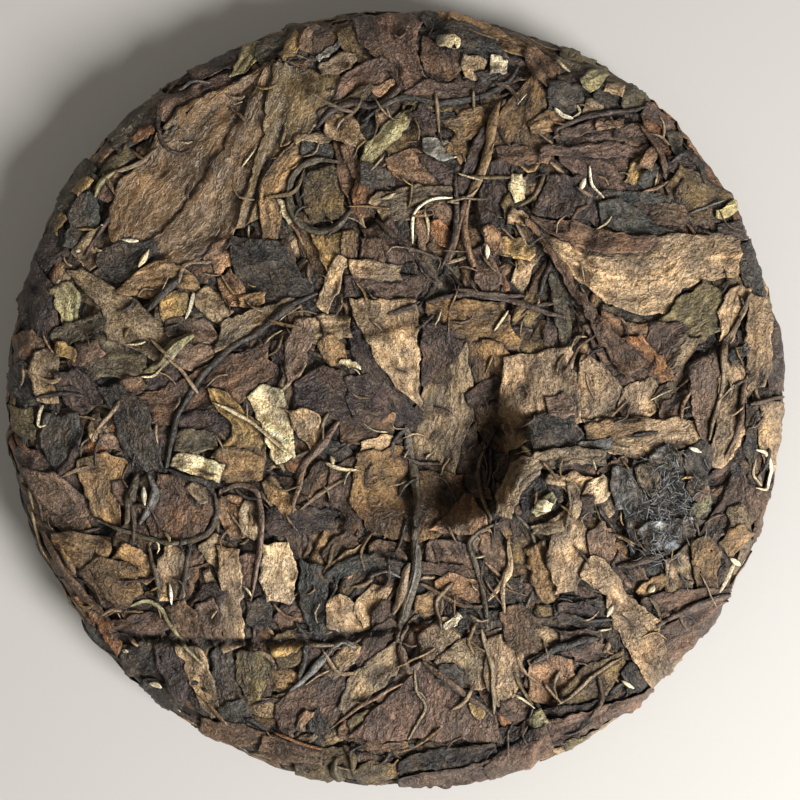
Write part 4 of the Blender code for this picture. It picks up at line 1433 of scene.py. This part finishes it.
def place_in_space(under, x, y, height):
    """World positions, in millimetres, of places of the two maps."""
    spots = np.empty((len(x), 3))
    top = ~under
    here, normal = with_normals(top_point, x[top], y[top])
    round_rim = smoothstep((np.hypot(x[top], y[top]) - SHOULDER_RADIUS + 8) / 14)
    lift = PRESSED * height[top] - CORE_SINK + press(x[top], y[top]) * (1 - 0.6 * round_rim)
    spots[top] = here + normal * lift[:, None]
    here, normal = with_normals(under_point, x[under], y[under])
    lift = PRESSED * height[under] - CORE_SINK + 0.5 * (noise(x[under] / 9, y[under] / 9) - 0.5)
    spots[under] = here + normal * lift[:, None]
    spots[:, 2] = FLOOR_GAP + FLOOR_SOFTNESS * np.logaddexp(0, spots[:, 2] / FLOOR_SOFTNESS)
    return spots


def make_piece(bundle):
    """Turns a bundle into one mesh object."""
    under, x, y, height, tint, grid, corners, sizes, walls = bundle.joined()
    spots = place_in_space(under, x, y, height) * MM
    # Painted shade: crevices, the foot of the hollow's wall and the bag's creases are darkened in the colour,
    # and the rim is darker.
    shade = np.where(under, painted_shade(under_pile, x, y, height), painted_shade(top_pile, x, y, height))
    # painted shade in the creases of the bag
    shade = shade * np.where(under, 1, np.exp(-CREASE_SHADE * crease_depth(x, y)))
    shade = shade * (1 - RIM_DARKENING * smoothstep((np.hypot(x, y) - SHOULDER_RADIUS + 6) / 10) * ~under)
    tone = (tint.mean(axis=1, keepdims=True) / TONE_PIVOT) ** TONE_CONTRAST
    light = LEAST_LIGHT + (1 - LEAST_LIGHT) * shade[:, None] ** SHADE_WARMTH
    tint = np.clip(tint * tone * light, BLACKEST, 1)

    mesh = bpy.data.meshes.new(bundle.name)
    mesh.vertices.add(len(spots))
    mesh.vertices.foreach_set("co", spots.astype(np.float32).ravel())
    mesh.loops.add(len(corners))
    mesh.loops.foreach_set("vertex_index", corners.astype(np.int32))
    mesh.polygons.add(len(sizes))
    starts = np.concatenate([[0], np.cumsum(sizes)[:-1]])
    mesh.polygons.foreach_set("loop_start", starts.astype(np.int32))
    mesh.update(calc_edges=True)
    mesh.polygons.foreach_set("use_smooth", ~walls)
    colours = mesh.attributes.new("tint", "FLOAT_COLOR", "POINT")
    opaque = np.column_stack([tint, np.ones(len(tint))])
    colours.data.foreach_set("color", opaque.astype(np.float32).ravel())
    blade = mesh.uv_layers.new(name="blade")
    blade.data.foreach_set("uv", grid[corners].astype(np.float32).ravel())
    mesh.validate()
    piece = bpy.data.objects.new(bundle.name, mesh)
    bpy.context.scene.collection.objects.link(piece)
    mesh.calc_loop_triangles()
    print(bundle.name, "-", len(bundle.parts), "parts,", len(mesh.loop_triangles), "triangles")
    return piece


pieces = {bundle.name: make_piece(bundle) for bundle in BUNDLES}

# %% [markdown]
# Under the leaves is the imported core. It shows only as darkness at the bottom of the gaps, and its
# near-black colour is painted shade for them. Its profile is spun into a closed solid, and each
# vertex is then moved to the pressed skin.

# %% The core
CORE_SPOKES, CORE_RINGS_ABOVE, CORE_RINGS_BELOW = 180, 70, 30


def make_core():
    """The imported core, spun from distances down its profile: over the top, round the rim, back below."""
    mesh = bmesh.new()
    profile = [(run, False) for run in np.linspace(0, MAP_EDGE, CORE_RINGS_ABOVE)]
    profile += [(radius, True) for radius in np.linspace(HEEL_RADIUS - 2, 0, CORE_RINGS_BELOW)]
    line = [mesh.verts.new((run, 0, -index)) for index, (run, _) in enumerate(profile)]
    edges = [mesh.edges.new(pair) for pair in zip(line, line[1:])]
    bmesh.ops.spin(mesh, geom=line + edges, cent=(0, 0, 0), axis=(0, 0, 1), angle=math.tau,
                   steps=CORE_SPOKES, use_merge=True)
    bmesh.ops.remove_doubles(mesh, verts=list(mesh.verts), dist=0.0001)
    bmesh.ops.recalc_face_normals(mesh, faces=list(mesh.faces))
    under = np.array([profile[round(-vert.co.z)][1] for vert in mesh.verts])
    x = np.array([vert.co.x for vert in mesh.verts]) * np.where(under, -1, 1)
    y = np.array([vert.co.y for vert in mesh.verts])
    crumbs = 0.5 * (ridged(x / 2.1, y / 2.1) + noise(x / 0.9, y / 0.9)) - 0.7
    for vert, spot in zip(mesh.verts, place_in_space(under, x, y, crumbs) * MM):
        vert.co = spot
    data = bpy.data.meshes.new("packed_core")
    mesh.to_mesh(data)
    mesh.free()
    data.shade_smooth()
    core = bpy.data.objects.new("packed_core", data)
    bpy.context.scene.collection.objects.link(core)
    return core


core = make_core()
pieces["packed_core"] = core
print("packed_core -", len(core.data.polygons), "faces")

# %% [markdown]
# The finishes are written as expressions. A small class stands for one socket, so sums and products
# of sockets add Math nodes by themselves, and one method makes any other node.

# %% Sockets as values
class Wire:
    """An output socket on which Python's operators add nodes."""

    def __init__(self, finish, socket):
        self.finish, self.socket = finish, socket

    def math(self, operation, *others):
        return self.finish.node("ShaderNodeMath", {"operation": operation}, dict(enumerate((self, *others))))

    def vector_math(self, operation, key, other):
        return self.finish.node("ShaderNodeVectorMath", {"operation": operation}, {0: self, key: other})

    def __add__(self, other):
        return self.math("ADD", other)

    def __sub__(self, other):
        return self.math("SUBTRACT", other)

    def __mul__(self, other):
        return self.math("MULTIPLY", other)

    def __rsub__(self, other):
        return (self * -1) + other

    __radd__, __rmul__ = __add__, __mul__

    def clamped(self, low, high):
        return self.math("MAXIMUM", low).math("MINIMUM", high)

    def scaled(self, factor):
        """A colour or vector times a value."""
        return self.vector_math("SCALE", "Scale", factor)

    def moved(self, other):
        """A vector plus another."""
        return self.vector_math("ADD", 1, other)

    def times(self, other):
        """A colour or vector times another, part by part."""
        return self.vector_math("MULTIPLY", 1, other)


class Finish:
    """A material under construction."""

    def __init__(self, name):
        self.material = bpy.data.materials.new(name)
        self.material.use_nodes = True
        self.tree = self.material.node_tree
        self.shader = self.tree.nodes["Principled BSDF"]

    def node(self, kind, settings=None, values=None, output=0):
        """Any node, from its type, its settings, and the values or wires of its sockets."""
        node = self.tree.nodes.new(kind)
        for name, value in (settings or {}).items():
            setattr(node, name, value)
        for key, value in (values or {}).items():
            self.feed(node.inputs[key], value)
        return Wire(self, node.outputs[output])

    def feed(self, socket, value):
        if isinstance(value, Wire):
            self.tree.links.new(value.socket, socket)
        else:
            socket.default_value = value

    def noise(self, vector, scale, detail=3.0, roughness=0.55, output="Fac"):
        return self.node("ShaderNodeTexNoise", None, {
            "Vector": vector, "Scale": scale, "Detail": detail, "Roughness": roughness}, output)

    def voronoi(self, feature, vector, scale):
        return self.node("ShaderNodeTexVoronoi", {"feature": feature}, {"Vector": vector, "Scale": scale},
                         "Distance")

    def facets(self, vector, scale):
        """Distance to the nearest of scattered points: flat-sided, like crumpled paper."""
        return self.voronoi("F1", vector, scale)

    def cell_edges(self, vector, scale):
        """Distance to the nearest edge between the cells of scattered points."""
        return self.voronoi("DISTANCE_TO_EDGE", vector, scale)

    def bump(self, height, distance):
        return self.node("ShaderNodeBump", None, {"Height": height, "Distance": distance, "Strength": 1.0})

    def mix(self, factor, first, second):
        """A colour between two others. The node's colour sockets are inputs 6 and 7 and output 2."""
        return self.node("ShaderNodeMix", {"data_type": "RGBA"}, {0: factor, 6: first, 7: second}, 2)


# %% [markdown]
# Dry leaf is satin where its skin is whole and matt where it is worn. Its colour breaks up into
# fibres and thin wrinkles along the blade, cloudy blotches a few millimetres wide, and a fine
# speckle of cells. Pale wrinkles, the light sides of cells and dark creases are painted light and
# shade on the relief. All come from noise and cells, on the blade's own coordinates for what follows
# the leaf, and on the object's, in millimetres, for the rest. The tint attribute gives each leaf
# its hue. A satin leaf adds long pale pleats as painted sheen, and a netted one adds fine veins.

# %% Leaf finish
# Pale colours mixed into pleats and wrinkles are painted sheen.
PLEAT_SHEEN, WRINKLE_SHEEN = (0.34, 0.30, 0.25, 1.0), (0.40, 0.36, 0.30, 1.0)
BROWN_STAIN = (0.095, 0.062, 0.036, 1.0)
COOL_PLACES, WARM_PLACES = (1.03, 0.99, 0.95, 1.0), (1.09, 1.01, 0.83, 1.0)
SPECULAR = 0.6


def crest_lines(finish, vector, scale, width):
    """Thin lines where smooth noise crosses its middle, 1 on the line and 0 beside it."""
    level = finish.noise(vector, scale, 2.0, 0.5)
    return (1 - (level - 0.5).math("ABSOLUTE") * (1 / width)).clamped(0.0, 1.0)


def leaf_finish(name, net=0.0, gloss=0.40, contrast=1.0, relief=0.00095, satin=0.0):
    """Dry leaf: tint broken up by fibres, wrinkles, blotches and speckle, with bump to match."""
    finish = Finish(name)
    tint = finish.node("ShaderNodeAttribute", {"attribute_name": "tint"}, None, "Color")
    blade = finish.node("ShaderNodeUVMap", {"uv_map": "blade"})
    place = finish.node("ShaderNodeTexCoord", None, None, "Object").scaled(1000.0)
    wander = finish.noise(place, 0.45, 1.0, output="Color").scaled(2.4)
    blade = blade.moved(wander)

    # Patterns that run along the blade are squeezed in its first coordinate; the rest run every way.
    fibres = finish.noise(blade.times((0.22, 1.0, 1.0)), 2.2, 3.0, 0.75)
    crumple = finish.facets(blade.times((0.34, 1.0, 1.0)), 0.46)
    crinkle = finish.facets(blade.times((0.42, 1.0, 1.0)), 1.15)
    grain = finish.noise(place, 2.7, 2.0, 0.85)
    pebbles = finish.noise(place, 1.3, 2.0, 0.7)
    blotches = finish.noise(place, 0.30, 3.0)
    wrinkles = crest_lines(finish, blade.times((0.35, 1.0, 1.0)), 0.62, 0.045)
    creases = crest_lines(finish, blade.times((0.6, -1.0, 1.0)), 0.50, 0.028)
    crepe = finish.cell_edges(place, 0.75).clamped(0.0, 0.3)

    # Light multiplies the tint. Its last term keeps its mean near 1 whatever the contrast.
    light = (grain * 3.6 + fibres * 1.3 + pebbles * 0.9 + blotches * 0.8) * contrast
    light = light + (0.90 - 3.30 * contrast)
    # Cells and wrinkles lighten the tint and creases darken it: painted light and shade on the relief.
    light = light + crepe * 0.3 + (crumple - 0.4) * 0.25 + (crinkle - 0.4) * 0.25
    light = light + wrinkles * 0.36 - creases * 0.42

    # Height feeds the bump, in units of the relief's depth.
    height = grain * 0.40 + fibres * 0.45 + pebbles * 0.30 + crepe * 0.3
    height = height + crumple * 0.9 + crinkle * 0.45 - creases * 0.2
    if satin:
        # Pleats: long pale streaks of painted sheen, with bump to match.
        pleats = crest_lines(finish, blade.times((0.10, 1.0, 1.0)), 0.70, 0.05)
        light = light + pleats * (0.50 * satin)
        tint = finish.mix(pleats * (0.30 * satin), tint, PLEAT_SHEEN)
        height = height + pleats * (0.35 * satin)
    if net:
        veins = (1 - finish.cell_edges(blade, 0.42) * 9.0).clamped(0.0, 1.0)
        light = light + veins * (0.14 * net)
        height = height + veins * (0.20 * net)

    # Brown stains, a painted sheen on the wrinkles and a slow drift from cool to warm change the hue itself.
    stain = ((finish.noise(place, 0.17, 4.0, 0.65) - 0.5) * 4.5).clamped(0.0, 0.45)
    tint = finish.mix(stain, tint, BROWN_STAIN)
    tint = finish.mix(wrinkles * 0.10, tint, WRINKLE_SHEEN)
    warmth = finish.noise(place, 0.55, 2.0).clamped(0.3, 0.7)
    hue = finish.mix((warmth - 0.3) * 2.5, COOL_PLACES, WARM_PLACES)
    finish.feed(finish.shader.inputs["Base Color"], tint.times(hue).scaled(light.clamped(0.10, 2.6)))
    finish.feed(finish.shader.inputs["Roughness"], (gloss + grain * 0.25 - wrinkles * 0.10).clamped(0.2, 0.9))
    finish.feed(finish.shader.inputs["Normal"], finish.bump(height, relief))
    finish.feed(finish.shader.inputs["Specular IOR Level"], SPECULAR)
    return finish.material


leaf_skin = leaf_finish("dry_leaf_skin")
netted_skin = leaf_finish("netted_leaf_skin", net=1.0)
satin_skin = leaf_finish("satin_leaf_skin", gloss=0.30, contrast=0.7, relief=0.00045, satin=1.0)
stalk_skin = leaf_finish("dry_stalk", gloss=0.36, relief=0.0005)
bud_down = leaf_finish("bud_down", gloss=0.50, contrast=0.6, relief=0.0003)

# %% Core finish
# The core's near-black, between two dark browns, is painted shade for the bottoms of the gaps.
dark = Finish("core_painted_shade")
grit = dark.noise(dark.node("ShaderNodeTexCoord", None, None, "Object").scaled(1000.0), 1.2, 4.0)
painted_deep_shadow, painted_shadow = (0.010, 0.007, 0.004, 1), (0.045, 0.030, 0.019, 1)
dark.feed(dark.shader.inputs["Base Color"], dark.mix(grit, painted_deep_shadow, painted_shadow))
dark.feed(dark.shader.inputs["Normal"], dark.bump(grit, 0.0004))
dark.feed(dark.shader.inputs["Roughness"], 0.85)

# %% Finishes of the pieces
FINISHES = {
    "broad_veined_leaves": netted_skin, "satin_leaves": satin_skin, "smooth_leaf_pieces": netted_skin,
    "stems": stalk_skin, "rolled_leaves": stalk_skin, "shreds": stalk_skin, "late_shreds": stalk_skin,
    "silver_buds": bud_down, "packed_core": dark.material}
for name, piece in pieces.items():
    piece.data.materials.append(FINISHES.get(name, leaf_skin))
    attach(piece, "root")
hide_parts("tea_cake")

# %% [markdown]
# The studio is a pale floor, one strong light in front and a little to the right, a weak wide one
# behind on the left, and a dim warm surround. The camera looks almost straight down, a little from
# the front. Its place and its focal length are those by which the plan was turned into the map.

# %% Floor
bpy.ops.mesh.primitive_plane_add(size=3, location=(0, 0, 0))
floor = bpy.context.object
floor.name = "floor"
paper = Finish("pale_floor")
paper.feed(paper.shader.inputs["Base Color"], (0.55, 0.525, 0.485, 1))
paper.feed(paper.shader.inputs["Roughness"], 0.8)
floor.data.materials.append(paper.material)

# %% Lights
def area_light(name, direction, distance, size, power, colour=(1, 1, 1)):
    """A square light, size metres wide, that looks at the origin from a direction."""
    light = bpy.data.lights.new(name, "AREA")
    light.shape, light.size, light.energy, light.color = "SQUARE", size, power, colour
    lamp = bpy.data.objects.new(name, light)
    lamp.location = Vector(direction).normalized() * distance
    lamp.rotation_euler = lamp.location.to_track_quat("Z", "Y").to_euler()
    bpy.context.scene.collection.objects.link(lamp)


area_light("window", (0.44, -0.90, 0.70), distance=0.95, size=0.33, power=17.6,
           colour=(0.975, 0.985, 1.0))
area_light("wall_bounce", (-0.8, 0.7, 1.2), distance=1.1, size=0.9, power=1.2)
world = bpy.data.worlds.new("studio")
bpy.context.scene.world = world
world.use_nodes = True
surround = world.node_tree.nodes["Background"].inputs
surround["Color"].default_value = (1.0, 0.93, 0.85, 1)
surround["Strength"].default_value = 0.17
bpy.context.scene.view_settings.view_transform = "Standard"

# %% Camera
SENSOR = 36.0
lens = bpy.data.cameras.new("camera")
lens.sensor_width = SENSOR
lens.lens = FOCAL_UNITS / PLAN_SIDE * SENSOR
camera = bpy.data.objects.new("camera", lens)
camera.location = camera_place * MM
camera.rotation_euler = camera_turn.to_euler()
bpy.context.scene.collection.objects.link(camera)
bpy.context.scene.camera = camera
print("lens", round(lens.lens, 1), "mm at", CAMERA_DISTANCE, "mm")
